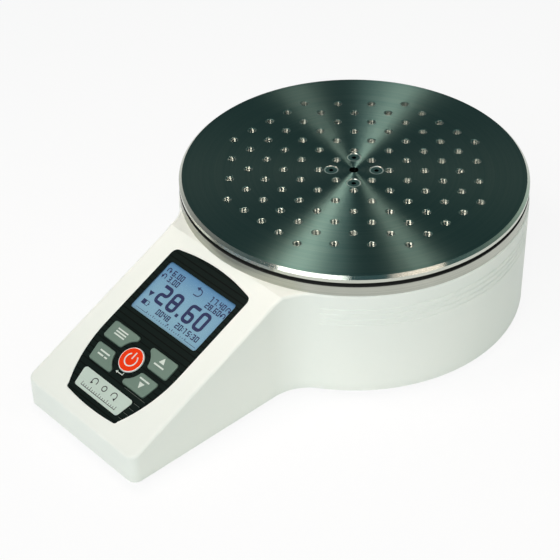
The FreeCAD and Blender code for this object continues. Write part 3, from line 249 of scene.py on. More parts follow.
def foot_at(x, y):
    """One foot: a round button whose lower face is set in rings round a sunk place for its screw."""
    middle = (x, y, foot_low.z + foot_height / 2)
    bpy.ops.mesh.primitive_cylinder_add(vertices=64, radius=FOOT_RADIUS, depth=foot_height, location=middle)
    foot = settle(bpy.context.object)
    bpy.ops.object.mode_set(mode="EDIT")
    choose("FACE", lambda face: face.normal.z < -0.9)
    for rim, rise in FOOT_RINGS:
        bpy.ops.mesh.inset(thickness=rim * MM)
        bpy.ops.transform.translate(value=(0, 0, rise * MM))
    bpy.ops.mesh.inset(thickness=FOOT_SCREW_RIM)
    bpy.ops.mesh.extrude_region_move(TRANSFORM_OT_translate={"value": (0, 0, FOOT_SCREW_DEPTH)})
    choose("EDGE", lambda edge: all(abs(v.co.z - foot_low.z) < 1e-6 for v in edge.verts) and all(
        abs(math.hypot(v.co.x - x, v.co.y - y) - FOOT_RADIUS) < 1e-5 for v in edge.verts))
    bpy.ops.mesh.bevel(offset=FOOT_EDGE, segments=4)
    bpy.ops.object.mode_set(mode="OBJECT")
    bpy.ops.object.shade_smooth_by_angle(angle=SMOOTH_ANGLE)
    return foot


rubber = finish("foot_rubber", specular_ior_level=0.3)
spot = rubber.spot()
grain = rubber.noise(spot, 2200.0, 3.0)
dust = rubber.noise(spot, 160.0)
rubber.feed(rubber.shader, {
    "Base Color": rubber.mix(dust, tone(34, 35, 35), tone(52, 53, 52)),
    "Roughness": 0.72 + grain * 0.2,
})
rubber.bump(grain, 0.08 * MM)
plate_low, plate_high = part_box("torque_plate")
axis_y = (plate_low.y + plate_high.y) / 2
rear_x = REAR_FOOT_REACH * math.cos(REAR_FOOT_TURN)
rear_y = axis_y + REAR_FOOT_REACH * math.sin(REAR_FOOT_TURN)
rear_foot = (rear_x, rear_y)
front_foot = (FRONT_FOOT_SIDE, foot_low.y + FOOT_RADIUS)
feet = [foot_at(side * place[0], place[1]) for place in (rear_foot, front_foot) for side in (-1, 1)]
dress(join("moulded_feet", feet), rubber, "chassis", "black_rubber", "rubber_feet")

# Torque sensor: one piece of ground tool steel with foil gauges glued to its square bar, and a hub
# that carries the plate. All of it is hidden inside the housing.
ground = finish("ground_steel", metallic=1.0)
spot = ground.spot()
lines = ground.noise(ground.stretched(spot, (30.0, 30.0, 3000.0)), 1.0, 3.0)
ground.feed(ground.shader, {
    "Base Color": ground.mix(lines, tone(150, 153, 154), tone(196, 198, 198)),
    "Roughness": 0.2 + lines * 0.2,
})
ground.put_on("torque_sensor", "sensor_hub", "stop_pins")

GAUGE_WAVES = 3500.0
foil = finish("gauge_foil", roughness=0.4)
spot, x, y, z = foil.place()
comb = foil.math("SINE", z * GAUGE_WAVES) > 0.1
foil.feed(foil.shader, {
    "Base Color": foil.mix(comb, tone(196, 140, 66), tone(226, 190, 120)),
    "Metallic": comb * 0.9,
})
foil.put_on("strain_gauges")

# Housing: one aluminium casting, drum and tongue together, under a white textured paint that is a
# little green in the shade. The paint keeps a fine orange peel, and dust gathers at its lower edge.
DUST_HEIGHT = 9.0 * MM
paint = finish("white_paint", specular_ior_level=0.4)
spot, x, y, z = paint.place()
peel = paint.noise(spot, 1500.0, 2.0)
cloud = paint.noise(spot, 14.0, 3.0)
dust = paint.math("MAXIMUM", 1.0 - z / DUST_HEIGHT, 0.0) * paint.noise(spot, 300.0, 4.0)
clean = paint.mix(cloud, tone(236, 241, 234), tone(243, 246, 240))
paint.feed(paint.shader, {
    "Base Color": paint.mix(dust * 0.35, clean, tone(190, 194, 184)),
    "Roughness": 0.36 + peel * 0.12 + cloud * 0.05,
})
paint.bump(peel, 0.04 * MM)
paint.put_on("housing")

# Collar: a satin aluminium ring between the drum and the plate, turned on a lathe, so fine lines run
# round it. Its top face and a thin band at the top of its side are painted near black, a painted shade
# for the dark gap under the plate. The plate hides its screws.
COLLAR_EDGE = 98.3 * MM
SHADE_BAND = 0.7 * MM
collar_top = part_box("collar_ring")[1].z
collar_metal = finish("satin_collar", anisotropic=0.5, anisotropic_rotation=0.25)
spot, x, y, z = collar_metal.place()
off_axis = y - axis_y
turned = collar_metal.noise(collar_metal.stretched(spot, (6.0, 6.0, 5200.0)), 1.0, 3.0)
cloud = collar_metal.noise(spot, 40.0)
facing = collar_metal.node("NewGeometry")["True Normal"]
facing = collar_metal.node("SeparateXYZ", values={"Vector": facing})["Z"]
# Painted shade: near black on the top face inside the edge, and on a thin band at the top of the side
gap_shade = (facing > 0.9) * (x * x + off_axis * off_axis < COLLAR_EDGE * COLLAR_EDGE)
gap_shade = collar_metal.math("MAXIMUM", gap_shade, z > collar_top - SHADE_BAND)
satin = collar_metal.mix(
    (turned - 0.5) * 1.6 + 0.3 + cloud * 0.4, tone(146, 150, 140), tone(202, 204, 193))
collar_metal.feed(collar_metal.shader, {
    "Base Color": collar_metal.mix(gap_shade, satin, tone(12, 15, 12)),
    "Metallic": 1.0 - gap_shade,
    "Roughness": 0.3 + turned * 0.12 + gap_shade * 0.5,
})
collar_metal.put_on("collar_ring")

# Torque plate: steel, faced on a lathe, so fine rings run round the axis and light spreads across them
# in broad rays. The chamfered rim and the screw sinks are painted a brighter steel than the face, a
# painted highlight, and the wall of the centre bore is painted near black, a painted shade.
RIM_START = 96.0 * MM
SINK_PLACE = 9.0 * MM
SINK_REACH = 4.4 * MM
CENTRE_RADIUS = 2.75 * MM
plate_metal = finish("turned_plate", metallic=1.0, anisotropic=1.0, anisotropic_rotation=0.25)
spot, x, y, z = plate_metal.place()
off_axis = y - axis_y
distance = plate_metal.math("SQRT", x * x + off_axis * off_axis)
ring_spot = plate_metal.node("CombineXYZ", values={"X": distance, "Z": z})["Vector"]
fine = plate_metal.noise(ring_spot, 2600.0, 3.0)
rings = plate_metal.noise(ring_spot, 800.0, 2.0)
broad = plate_metal.noise(ring_spot, 160.0, 2.0)
facing = plate_metal.node("NewGeometry")["True Normal"]
facing = plate_metal.node("SeparateXYZ", values={"Vector": facing})["Z"]
sink_x = plate_metal.math("ABSOLUTE", x) - SINK_PLACE
sink_y = plate_metal.math("ABSOLUTE", off_axis) - SINK_PLACE
in_sink = sink_x * sink_x + sink_y * sink_y < SINK_REACH * SINK_REACH
# Painted shade: the wall of the centre bore is made near black
bore_shade = (distance < CENTRE_RADIUS) * (facing < 0.5)
on_rim = distance > RIM_START
cut_face = (facing < 0.97) * plate_metal.math("MAXIMUM", on_rim, in_sink)
worn = fine * 0.35 + rings * 0.4 + broad * 0.25
face_tone = plate_metal.mix(worn, tone(46, 96, 94), tone(128, 148, 137))
# Painted highlight: a brighter steel for the chamfered rim and the screw sinks
cut_highlight = plate_metal.mix(fine, tone(178, 184, 174), tone(214, 216, 204))
bare_tone = plate_metal.mix(cut_face, face_tone, cut_highlight)
plate_metal.feed(plate_metal.shader, {
    "Base Color": plate_metal.mix(bore_shade, bare_tone, tone(16, 22, 20)),
    "Roughness": 0.32 + fine * 0.08 + rings * 0.1 - cut_face * (0.1 + on_rim * 0.12),
})
plate_metal.bump(fine * 0.5 + rings, 0.008 * MM)
plate_metal.put_on("torque_plate")

# Threads: the holes of the plate's grid are tapped with a fine thread, whose upper flanks mirror the
# lamps. One thread is drawn in millimetres as a profile, spun round its axis, and set in every hole.
THREAD_WALL = 2.49
THREAD_ROOT = 2.45
THREAD_CREST = 2.07
THREAD_PITCH = 0.5
THREAD_TURNS = 11
THREAD_SIDES = 32
HOLE_PITCH = 14.03 * MM
HOLE_MOUTH_DEPTH = 0.12 * MM
# The grid goes this many holes out each way, and this many across and up together
GRID_REACH = 5
GRID_SUM = 7


def draw(points):
    """Draw a line of edges from point to point, in millimetres, and stay in edit mode."""
    bpy.ops.mesh.primitive_plane_add(size=MM, location=Vector(points[0]) * MM)
    bpy.ops.object.mode_set(mode="EDIT")
    bpy.ops.mesh.select_mode(type="VERT")
    bpy.ops.mesh.select_all(action="SELECT")
    bpy.ops.mesh.merge(type="CENTER")
    for start, end in zip(points, points[1:]):
        step = (Vector(end) - Vector(start)) * MM
        bpy.ops.mesh.extrude_vertices_move(TRANSFORM_OT_translate={"value": step})
    return bpy.context.object


def close_up():
    """In edit mode, merge doubles and turn the faces outwards, then leave edit mode."""
    bpy.ops.mesh.select_all(action="SELECT")
    bpy.ops.mesh.remove_doubles(threshold=0.002 * MM)
    bpy.ops.mesh.normals_make_consistent(inside=False)
    bpy.ops.object.mode_set(mode="OBJECT")


def set_out(piece, spots):
    """Copy a piece to each spot, with a mesh of its own, and take the first one away."""
    twins = []
    for spot in spots:
        twin = piece.copy()
        twin.data = piece.data.copy()
        twin.location = spot
        bpy.context.collection.objects.link(twin)
        twins.append(twin)
    bpy.data.objects.remove(piece)
    return twins


thread_profile = [(THREAD_WALL, 0, 0), (THREAD_ROOT, 0, 0)]
for step in range(THREAD_TURNS):
    thread_profile.append((THREAD_CREST, 0, -(step + 0.5) * THREAD_PITCH))
    thread_profile.append((THREAD_ROOT, 0, -(step + 1) * THREAD_PITCH))
thread_profile += [(THREAD_WALL, 0, -THREAD_TURNS * THREAD_PITCH), thread_profile[0]]
thread = draw(thread_profile)
bpy.ops.mesh.select_all(action="SELECT")
bpy.ops.mesh.spin(steps=THREAD_SIDES, angle=math.tau, center=(0, 0, 0), axis=(0, 0, 1))
close_up()
settle(thread)
bpy.ops.object.shade_smooth_by_angle(angle=SMOOTH_ANGLE)
thread_top = plate_high.z - HOLE_MOUTH_DEPTH
holes = []
for column in range(-GRID_REACH, GRID_REACH + 1):
    for line in range(-GRID_REACH, GRID_REACH + 1):
        if 0 < abs(column) + abs(line) <= GRID_SUM:
            holes.append((HOLE_PITCH * column, axis_y + HOLE_PITCH * line, thread_top))
cut_steel = finish("cut_thread", metallic=1.0)
spot = cut_steel.spot()
grain = cut_steel.noise(spot, 1500.0, 3.0)
cut_steel.feed(cut_steel.shader, {
    "Base Color": cut_steel.mix(grain, tone(150, 164, 154), tone(176, 188, 178)),
    "Roughness": 0.25 + grain * 0.06,
})
dress(join("hole_threads", set_out(thread, holes)), cut_steel, "plate", "turned_steel")

# Plate screws: four countersunk screws that hold the plate on the hub, in a darker steel. A bright ring
# round the edge of each head is a painted highlight, and the hex socket is painted dark, a painted shade.
# The collar's own screws, which the plate hides, are plain.
HEAD_HIGHLIGHT_RADIUS = 3.3 * MM
HEAD_SOCKET = 1.5 * MM
HEAD_SKIN = 0.1 * MM
head_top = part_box("plate_screws")[1].z
dark_screw = finish("dark_screw", metallic=1.0)
spot, x, y, z = dark_screw.place()
head_x = dark_screw.math("ABSOLUTE", x) - SINK_PLACE
head_y = dark_screw.math("ABSOLUTE", y - axis_y) - SINK_PLACE
across = head_x * head_x + head_y * head_y
# Painted highlight: a bright ring round the edge of each head
edge = across > HEAD_HIGHLIGHT_RADIUS * HEAD_HIGHLIGHT_RADIUS
# Painted shade: the hex socket below the head's face is made dark
socket_shade = (across < HEAD_SOCKET * HEAD_SOCKET) * (z < head_top - HEAD_SKIN)
grain = dark_screw.noise(spot, 1200.0, 3.0)
face_tone = dark_screw.mix(grain, tone(80, 118, 113), tone(112, 146, 139))
face_tone = dark_screw.mix(socket_shade, face_tone, tone(22, 30, 28))
dark_screw.feed(dark_screw.shader, {
    "Base Color": dark_screw.mix(edge, face_tone, tone(206, 226, 218)),
    "Roughness": 0.34 + grain * 0.16 + edge * 0.1,
})
dark_screw.put_on("plate_screws")
screw_steel.put_on("collar_screws")

# Panel: a black printed film, stuck in a recess of the slope, with windows for the display and the
# keys. Darker pinstripes run across it, and a few pale rules cross its lower right corner.
SLOPE = math.radians(25.1)
SLOPE_FOOT_HEIGHT = 20.559 * MM
slope_foot_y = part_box("housing")[0].y
slope_frame = Matrix.Translation((0, slope_foot_y, SLOPE_FOOT_HEIGHT)) @ Matrix.Rotation(SLOPE, 4, "X")


def up_slope(y, z):
    """How far up the slope a point lies, from the slope's lower edge."""
    return (y - slope_foot_y) * math.cos(SLOPE) + (z - SLOPE_FOOT_HEIGHT) * math.sin(SLOPE)


STRIPE_PITCH = 3.45 * MM
STRIPE_SHARE = 0.18
BOW_STEP = 9
film = finish("black_film", specular_ior_level=0.08)
spot, x, y, z = film.place()
rise = up_slope(y, z)
stripe = film.math("FRACT", rise / STRIPE_PITCH) < STRIPE_SHARE
grain = film.noise(spot, 1800.0, 3.0)
shade = film.mix(grain, tone(15, 25, 22), tone(20, 30, 27))
film.feed(film.shader, {
    "Base Color": film.mix(stripe, shade, tone(6, 10, 9)),
    "Roughness": 0.4 + grain * 0.14,
})
film.bump(grain, 0.01 * MM)
film.put_on("panel_overlay")


def bar(x0, x1, y0, y1):
    """A flat mark on the panel, in millimetres: x across, y up the slope."""
    middle = ((x0 + x1) / 2 * MM, (y0 + y1) / 2 * MM, 0)
    bpy.ops.mesh.primitive_plane_add(size=1, location=middle)
    bpy.context.object.scale = ((x1 - x0) * MM, (y1 - y0) * MM, 1)
    return settle(bpy.context.object)


def arrowhead(x, y, reach, turn):
    """A flat triangle on the panel that points up, then is turned."""
    middle = (x * MM, y * MM, 0)
    bpy.ops.mesh.primitive_circle_add(vertices=3, radius=reach * MM, fill_type="NGON", location=middle)
    bpy.context.object.rotation_euler.z = math.radians(turn)
    return settle(bpy.context.object)


def bow(x, y, radius, width, start, sweep):
    """A flat arc on the panel: a short edge across the stroke is spun about the arc's middle."""
    inner = radius - width / 2
    middle = (x * MM, y * MM, 0)
    bpy.ops.mesh.primitive_plane_add(size=1, location=middle)
    piece = bpy.context.object
    bpy.ops.object.mode_set(mode="EDIT")
    mesh = bmesh.from_edit_mesh(piece.data)
    mesh.verts.ensure_lookup_table()
    turn = math.radians(start)
    ray = Vector((math.cos(turn), math.sin(turn), 0))
    for vert, reach in zip(mesh.verts, (inner, inner + width, inner, inner + width)):
        vert.co = ray * reach * MM
    bmesh.update_edit_mesh(piece.data)
    choose("VERT", lambda vert: vert.index > 1)
    bpy.ops.mesh.delete(type="VERT")
    bpy.ops.mesh.select_all(action="SELECT")
    steps = max(6, int(sweep / BOW_STEP))
    bpy.ops.mesh.spin(steps=steps, angle=math.radians(sweep), center=middle, axis=(0, 0, -1))
    bpy.ops.object.mode_set(mode="OBJECT")
    return settle(piece)


def print_on(name, pieces, lift, thickness, look, body, slot):
    """Join flat marks, give them a thickness and lay them on the slope at a height above the panel."""
    piece = join(name, pieces)
    bpy.ops.object.mode_set(mode="EDIT")
    close_up()
    if sum(face.normal.z for face in piece.data.polygons) < 0:
        piece.data.flip_normals()
    modify(piece, "SOLIDIFY", thickness=thickness * MM, offset=1.0)
    piece.matrix_world = slope_frame @ Matrix.Translation((0, 0, lift * MM))
    settle(piece)
    dress(piece, look, body, slot)


pale_ink = finish("pale_ink")
spot = pale_ink.spot()
grain = pale_ink.noise(spot, 2400.0, 2.0)
pale_ink.feed(pale_ink.shader, {
    "Base Color": pale_ink.mix(grain, tone(196, 206, 198), tone(222, 230, 222)),
    "Roughness": 0.42 + grain * 0.12,
})
dim_ink = finish("dim_ink")
spot = dim_ink.spot()
grain = dim_ink.noise(spot, 2400.0, 2.0)
dim_ink.feed(dim_ink.shader, {
    "Base Color": dim_ink.mix(grain, tone(70, 78, 72), tone(104, 112, 104)),
    "Roughness": 0.42 + grain * 0.12,
})
# Marks are given in millimetres, across from the middle and up the slope from its lower edge
PRINT_THICKNESS = 0.02
RULE_TOP = 27.7
RULE_STEP = 3.5
RULE_HALF = 0.11
LONG_RULE = (9.0, 25.8)
SHORT_RULE = (21.4, 26.2)
SHORT_RULE_SHIFT = (0.6, 1.05)
rules = [bar(*LONG_RULE, RULE_TOP - RULE_HALF, RULE_TOP + RULE_HALF)]
for step in range(1, 5):
    level = RULE_TOP - step * RULE_STEP
    ends = [place - step * shift for place, shift in zip(SHORT_RULE, SHORT_RULE_SHIFT)]
    rules.append(bar(*ends, level - RULE_HALF, level + RULE_HALF))
print_on("panel_rules", rules, 0.0, PRINT_THICKNESS, dim_ink, "chassis", "black_film")
# A small return arrow under the power key
ENTER_LEFT = -2.2
ENTER_RIGHT = 2.4
ENTER_LEVEL = 32.1
ENTER_TOP = 33.6
ENTER_HALF = 0.2
enter_sign = [
    bar(ENTER_LEFT, ENTER_RIGHT, ENTER_LEVEL - ENTER_HALF, ENTER_LEVEL + ENTER_HALF),
    bar(ENTER_RIGHT - ENTER_HALF * 2, ENTER_RIGHT, ENTER_LEVEL + ENTER_HALF, ENTER_TOP),
    arrowhead(ENTER_LEFT, ENTER_LEVEL, reach=1.0, turn=90),
]
print_on("enter_sign", enter_sign, 0.0, PRINT_THICKNESS, pale_ink, "chassis", "black_film")

# Display: a clear lens over a lit blue glass with dark figures, in a tin frame on a white light box.
# The figures are plain numbers, and the other marks are plain arrows and a bar scale.
WINDOW_HALF = 26.7
WINDOW_LOW = 64.9
WINDOW_HIGH = 97.9
WINDOW_CORNER = 1.6
LENS_THICKNESS = 0.5
GLASS_DEPTH = 1.4

lens = finish("clear_lens", roughness=0.06, alpha=0.04, specular_ior_level=0.6)
spot = lens.spot()
cloud = lens.noise(spot, 30.0)
lens.feed(lens.shader, {"Base Color": lens.mix(cloud, tone(90, 110, 130), tone(120, 140, 156))})
window = bar(-WINDOW_HALF, WINDOW_HALF, WINDOW_LOW, WINDOW_HIGH)
bpy.ops.object.mode_set(mode="EDIT")
bpy.ops.mesh.select_all(action="SELECT")
bpy.ops.mesh.bevel(offset=WINDOW_CORNER * MM, segments=6, affect="VERTICES")
bpy.ops.object.mode_set(mode="OBJECT")
print_on("display_lens", [window], -LENS_THICKNESS, LENS_THICKNESS, lens, "chassis", "clear_plastic")
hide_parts("display_window")

DOT_PITCH = 0.42 * MM
DOT_GAP = 0.12
glass = finish("lit_glass", roughness=0.3, emission_strength=0.12)
spot, x, y, z = glass.place()
rise = up_slope(y, z)
top = (rise - WINDOW_LOW * MM) / ((WINDOW_HIGH - WINDOW_LOW) * MM)
edge = glass.math("ABSOLUTE", x / (WINDOW_HALF * MM))
dots = glass.math("FRACT", x / DOT_PITCH) < DOT_GAP
rows = glass.math("FRACT", rise / DOT_PITCH) < DOT_GAP
grid = glass.math("MAXIMUM", dots, rows)
blue = glass.mix(glass.math("POWER", top, 3.0), tone(132, 172, 192), tone(86, 134, 176))
blue = glass.mix(glass.math("POWER", edge, 14.0) * 0.5, blue, tone(92, 140, 184))
lit = glass.mix(grid * 0.25, blue, tone(104, 142, 166))
glass.feed(glass.shader, {"Base Color": lit, "Emission Color": lit})
glass.put_on("lcd_panel")

navy = finish("navy_figures", roughness=0.4)
spot = navy.spot()
grain = navy.noise(spot, 1500.0)
navy.feed(navy.shader, {"Base Color": navy.mix(grain, tone(20, 20, 74), tone(32, 34, 88))})
LEFT, RIGHT, MIDST, INNER_LEFT, INNER_RIGHT = range(5)
LOW, MIDDLE, HIGH = range(3)
UPPER_BOW = [(LEFT, HIGH), (RIGHT, HIGH)]
RING = [(LEFT, LOW), (RIGHT, LOW), (RIGHT, HIGH), (LEFT, HIGH), (LEFT, LOW)]
CROSS_BAR = [(INNER_LEFT, MIDDLE), (INNER_RIGHT, MIDDLE)]
FIGURES = {
    "0": [RING],
    "1": [[(LEFT, HIGH), (MIDST, HIGH), (MIDST, LOW)]],
    "2": [UPPER_BOW + [(RIGHT, MIDDLE), (LEFT, MIDDLE), (LEFT, LOW), (RIGHT, LOW)]],
    "3": [UPPER_BOW + [(RIGHT, LOW), (LEFT, LOW)], CROSS_BAR],
    "4": [[(LEFT, HIGH), (LEFT, MIDDLE), (INNER_RIGHT, MIDDLE)], [(RIGHT, HIGH), (RIGHT, LOW)]],
    "5": [[(RIGHT, HIGH), (LEFT, HIGH), (LEFT, MIDDLE), (RIGHT, MIDDLE), (RIGHT, LOW), (LEFT, LOW)]],
    "6": [[(RIGHT, HIGH), (LEFT, HIGH), (LEFT, LOW), (RIGHT, LOW), (RIGHT, MIDDLE), (INNER_LEFT, MIDDLE)]],
    "7": [UPPER_BOW + [(RIGHT, LOW)]],
    "8": [RING, CROSS_BAR],
}


def stroke(points, width, bend):
    """A flat line through points on the panel, along its two directions, with rounded corners."""
    pieces = []
    closed = points[0] == points[-1]
    last = len(points) - 2
    for number, (start, end) in enumerate(zip(points, points[1:])):
        along = (end - start).normalized()
        corner_before = closed or number > 0
        corner_after = closed or number < last
        head = start + along * ((bend or width / 2) if corner_before else -width / 2)
        tail = end - along * (bend if corner_after and bend else -width / 2)
        low = Vector(map(min, head, tail)) - Vector(map(abs, along.yx)) * width / 2
        high = Vector(map(max, head, tail)) + Vector(map(abs, along.yx)) * width / 2
        pieces.append(bar(low.x, high.x, low.y, high.y))
        if corner_after and bend:
            onward = ((points[number + 2] if number < last else points[1]) - end).normalized()
            middle = end - along * bend + onward * bend
            first = -onward if along.x * onward.y > along.y * onward.x else along
            start_turn = math.degrees(math.atan2(first.y, first.x))
            pieces.append(bow(middle.x, middle.y, bend, width, start_turn, 90))
    return pieces


FIGURE_GAP = 0.95
POINT_LEVELS = (0.0,)
COLON_LEVELS = (0.2, 0.6)


def number_marks(text, x, y, wide, tall, width, bend=0.0):
    """A plain number in the panel's square figures, from its lower left corner."""
    pieces = []
    for sign in text:
        columns = [width / 2, wide - width / 2, wide / 2, width * 1.5, wide - width * 1.5]
        lines = [width / 2, tall / 2, tall - width / 2]
        for path in FIGURES.get(sign, []):
            points = [Vector((x + columns[column], y + lines[line])) for column, line in path]
            pieces += stroke(points, width, bend)
        for level in {".": POINT_LEVELS, ":": COLON_LEVELS}.get(sign, ()):
            pieces.append(bar(x, x + width, y + tall * level, y + tall * level + width))
        x += (wide if sign in FIGURES else width) + width * FIGURE_GAP
    return pieces


# Sizes of the figures: how wide, how tall and how thick, and for the large ones the bend of the corners
LARGE = (7.2, 11.9, 2.0, 1.8)
SMALL = (2.1, 3.5, 0.62)
# Where the figures start, from the middle, and the lines that they stand on
LARGE_START = -18.6
LEFT_START = -20.8
RIGHT_START = 10.3
COUNT_START = -11.1
CLOCK_START = 4.6
UPPER_LINE = 91.7
SECOND_LINE = 87.5
LARGE_LINE = 74.2
LOWEST_LINE = 69.2
marks = [
    *number_marks("28.60", LARGE_START, LARGE_LINE, *LARGE),
    *number_marks("6.00", LEFT_START, UPPER_LINE, *SMALL),
    *number_marks("3.00", LEFT_START, SECOND_LINE, *SMALL),
    *number_marks("17.40", RIGHT_START, UPPER_LINE, *SMALL),
    *number_marks("28.60", RIGHT_START, SECOND_LINE, *SMALL),
    *number_marks("0048", COUNT_START, LOWEST_LINE, *SMALL),
    *number_marks("20:15:30", CLOCK_START, LOWEST_LINE, *SMALL),
    arrowhead(LARGE_START - 4.0, LARGE_LINE + 3.2, reach=2.2, turn=180),
]
# Turning arrows beside the upper figures, one way in the first line and the other way in the second
TURN_PLACE = 24.0
TURN_LIFT = 1.9
TURN_RADIUS = 1.15
TURN_TAIL = 1.4
LINE_WIDTH = 0.6
LINE_HALF = LINE_WIDTH / 2
for side in (-1, 1):
    for level, turn in ((UPPER_LINE + TURN_LIFT, 1), (SECOND_LINE + TURN_LIFT, -1)):
        middle = side * TURN_PLACE
        marks.append(bow(middle, level, TURN_RADIUS, LINE_WIDTH, 0, 180))
        tail = middle - turn * TURN_RADIUS
        marks.append(bar(tail - LINE_HALF, tail + LINE_HALF, level - TURN_TAIL, level))
        marks.append(arrowhead(middle + turn * TURN_RADIUS, level - LINE_WIDTH, TURN_RADIUS, 180))
# A return arrow at the top: a half ring, a lower line, and an upper line that ends in the arrow's head
RETURN_PLACE = 1.2
RETURN_LEVEL = 92.2
RETURN_RADIUS = 2.2
lower = RETURN_LEVEL - RETURN_RADIUS
upper = RETURN_LEVEL + RETURN_RADIUS
marks += [
    bow(RETURN_PLACE, RETURN_LEVEL, RETURN_RADIUS, LINE_WIDTH, -90, 180),
    bar(RETURN_PLACE - 2.2, RETURN_PLACE, lower - LINE_HALF, lower + LINE_HALF),
    bar(RETURN_PLACE - 0.8, RETURN_PLACE, upper - LINE_HALF, upper + LINE_HALF),
    arrowhead(RETURN_PLACE - 1.5, upper, reach=1.5, turn=90),
]
# A battery at the left: its two long walls, its charge, its end wall and its knob
BATTERY_LEFT = -23.8
BATTERY_RIGHT = -18.8
BATTERY_FLOOR = 70.2
BATTERY_ROOF = 72.6
BATTERY_WALL = 0.3
BATTERY_CHARGE = 2.9
BATTERY_KNOB = 0.5
KNOB_INSET = 0.7
marks += [
    bar(BATTERY_LEFT, BATTERY_RIGHT, BATTERY_ROOF, BATTERY_ROOF + BATTERY_WALL),
    bar(BATTERY_LEFT, BATTERY_RIGHT, BATTERY_FLOOR - BATTERY_WALL, BATTERY_FLOOR),
    bar(BATTERY_LEFT, BATTERY_LEFT + BATTERY_CHARGE, BATTERY_FLOOR, BATTERY_ROOF),
    bar(BATTERY_RIGHT - BATTERY_WALL, BATTERY_RIGHT, BATTERY_FLOOR, BATTERY_ROOF),
    bar(BATTERY_RIGHT, BATTERY_RIGHT + BATTERY_KNOB, BATTERY_FLOOR + KNOB_INSET, BATTERY_ROOF - KNOB_INSET),
]
# A bar scale along the foot, with a pointer in its middle
BAR_FOOT = 66.65
BAR_INNER = 16.2
BAR_OUTER = 24.5
BAR_THICKNESS = 0.25
TICK_STEP = 1.75
TICK_HALF = 0.2
LONG_TICK = 1.3
SHORT_TICK = 0.7
marks.append(bar(-BAR_OUTER, -BAR_INNER, BAR_FOOT, BAR_FOOT + BAR_THICKNESS))
marks.append(bar(BAR_INNER, BAR_OUTER, BAR_FOOT, BAR_FOOT + BAR_THICKNESS))
for step in range(-9, 10):
    tall = LONG_TICK if step % 3 == 0 else SHORT_TICK
    middle = step * TICK_STEP
    marks.append(bar(middle - TICK_HALF, middle + TICK_HALF, BAR_FOOT, BAR_FOOT + tall))
marks.append(arrowhead(0.6, BAR_FOOT + 1.75, reach=0.8, turn=180))
FIGURE_LIFT = 0.002
FIGURE_THICKNESS = 0.04
figure_level = FIGURE_LIFT - GLASS_DEPTH
print_on("display_figures", marks, figure_level, FIGURE_THICKNESS, navy, "chassis", "display_blue")

light_box = finish("light_box", roughness=0.5)
spot = light_box.spot()
cloud = light_box.noise(spot, 400.0)
light_box.feed(light_box.shader, {
    "Base Color": light_box.mix(cloud, tone(232, 234, 234), tone(246, 247, 247)),
})
light_box.put_on("lcd_backlight")

tin = finish("bright_tin", metallic=1.0)
spot = tin.spot()
flow = tin.noise(spot, 420.0, 3.0)
tin.feed(tin.shader, {
    "Base Color": tin.mix(flow, tone(196, 198, 198), tone(226, 227, 227)),
    "Roughness": 0.18 + flow * 0.2,
})
tin.put_on("lcd_frame", "board_standoffs", "usb_socket")

# Power key: a round red-orange cap with a white rim, moulded in two colours, and the usual power sign
# printed on it: a broken ring with a stroke in the gap.
POWER_PLACE = 41.4
POWER_RIM_START = 6.95
red = finish("power_key", specular_ior_level=0.15)
spot, x, y, z = red.place()
key_rise = up_slope(y, z) - POWER_PLACE * MM
reach = red.math("SQRT", x * x + key_rise * key_rise)
grain = red.noise(spot, 1800.0, 3.0)
cap_colour = red.mix(grain, tone(228, 50, 3), tone(238, 60, 6))
red.feed(red.shader, {
    "Base Color": red.mix(reach > POWER_RIM_START * MM, cap_colour, tone(236, 238, 234)),
    "Roughness": 0.4 + grain * 0.15,
})
red.bump(grain, 0.01 * MM)
red.put_on("power_key")
KEY_PROUD = 0.6
KEY_PRINT = 0.03
SIGN_RADIUS = 3.8
SIGN_STROKE = 0.75
SIGN_HALF = 0.4
SIGN_GAP = 76
power_sign = [
    bow(0, POWER_PLACE, SIGN_RADIUS, SIGN_STROKE, 90 + SIGN_GAP / 2, 360 - SIGN_GAP),
    bar(-SIGN_HALF, SIGN_HALF, POWER_PLACE + 0.5, POWER_PLACE + SIGN_RADIUS + 1.0),
]
print_on("power_sign", power_sign, KEY_PROUD, KEY_PRINT, pale_ink, "power_key", "red_key")

# Grey keys: four matt rubbery caps round the power key, with pale printed signs: plain bars on the
# left pair and up and down arrows on the right pair.
grey = finish("grey_keys", specular_ior_level=0.35)
spot = grey.spot()
grain = grey.noise(spot, 2000.0, 3.0)
cloud = grey.noise(spot, 90.0)
grey.feed(grey.shader, {
    "Base Color": grey.mix(grain * 0.5 + cloud * 0.5, tone(100, 122, 110), tone(113, 135, 123)),
    "Roughness": 0.5 + grain * 0.16,
})
grey.bump(grain, 0.02 * MM)
grey.put_on("upper_left_key", "upper_right_key", "lower_left_key", "lower_right_key")
KEY_LINE = 0.9
KEY_ARROW = 2.3
LIST_LINE = 0.8
LIST_ENDS = (-21.0, -12.8)
LIST_LEVELS = (47.2, 48.9, 50.6)
RANGE_ENDS = (-20.0, -12.4)
RANGE_GAP = (-15.6, -14.6)
RANGE_LOW = 33.4
RANGE_HIGH = 35.6
RISE_ENDS = (12.8, 20.4)
RISE_LEVEL = 46.9
FALL_ENDS = (12.4, 20.0)
FALL_LEVEL = 36.4
upper_left = [bar(*LIST_ENDS, level, level + LIST_LINE) for level in LIST_LEVELS]
lower_left = [
    bar(*RANGE_ENDS, RANGE_HIGH, RANGE_HIGH + KEY_LINE),
    bar(RANGE_ENDS[0], RANGE_GAP[0], RANGE_LOW, RANGE_LOW + KEY_LINE),
    bar(RANGE_GAP[1], RANGE_ENDS[1], RANGE_LOW, RANGE_LOW + KEY_LINE),
]
upper_right = [
    bar(*RISE_ENDS, RISE_LEVEL, RISE_LEVEL + KEY_LINE),
    arrowhead(sum(RISE_ENDS) / 2, RISE_LEVEL + 3.5, KEY_ARROW, turn=0),
]
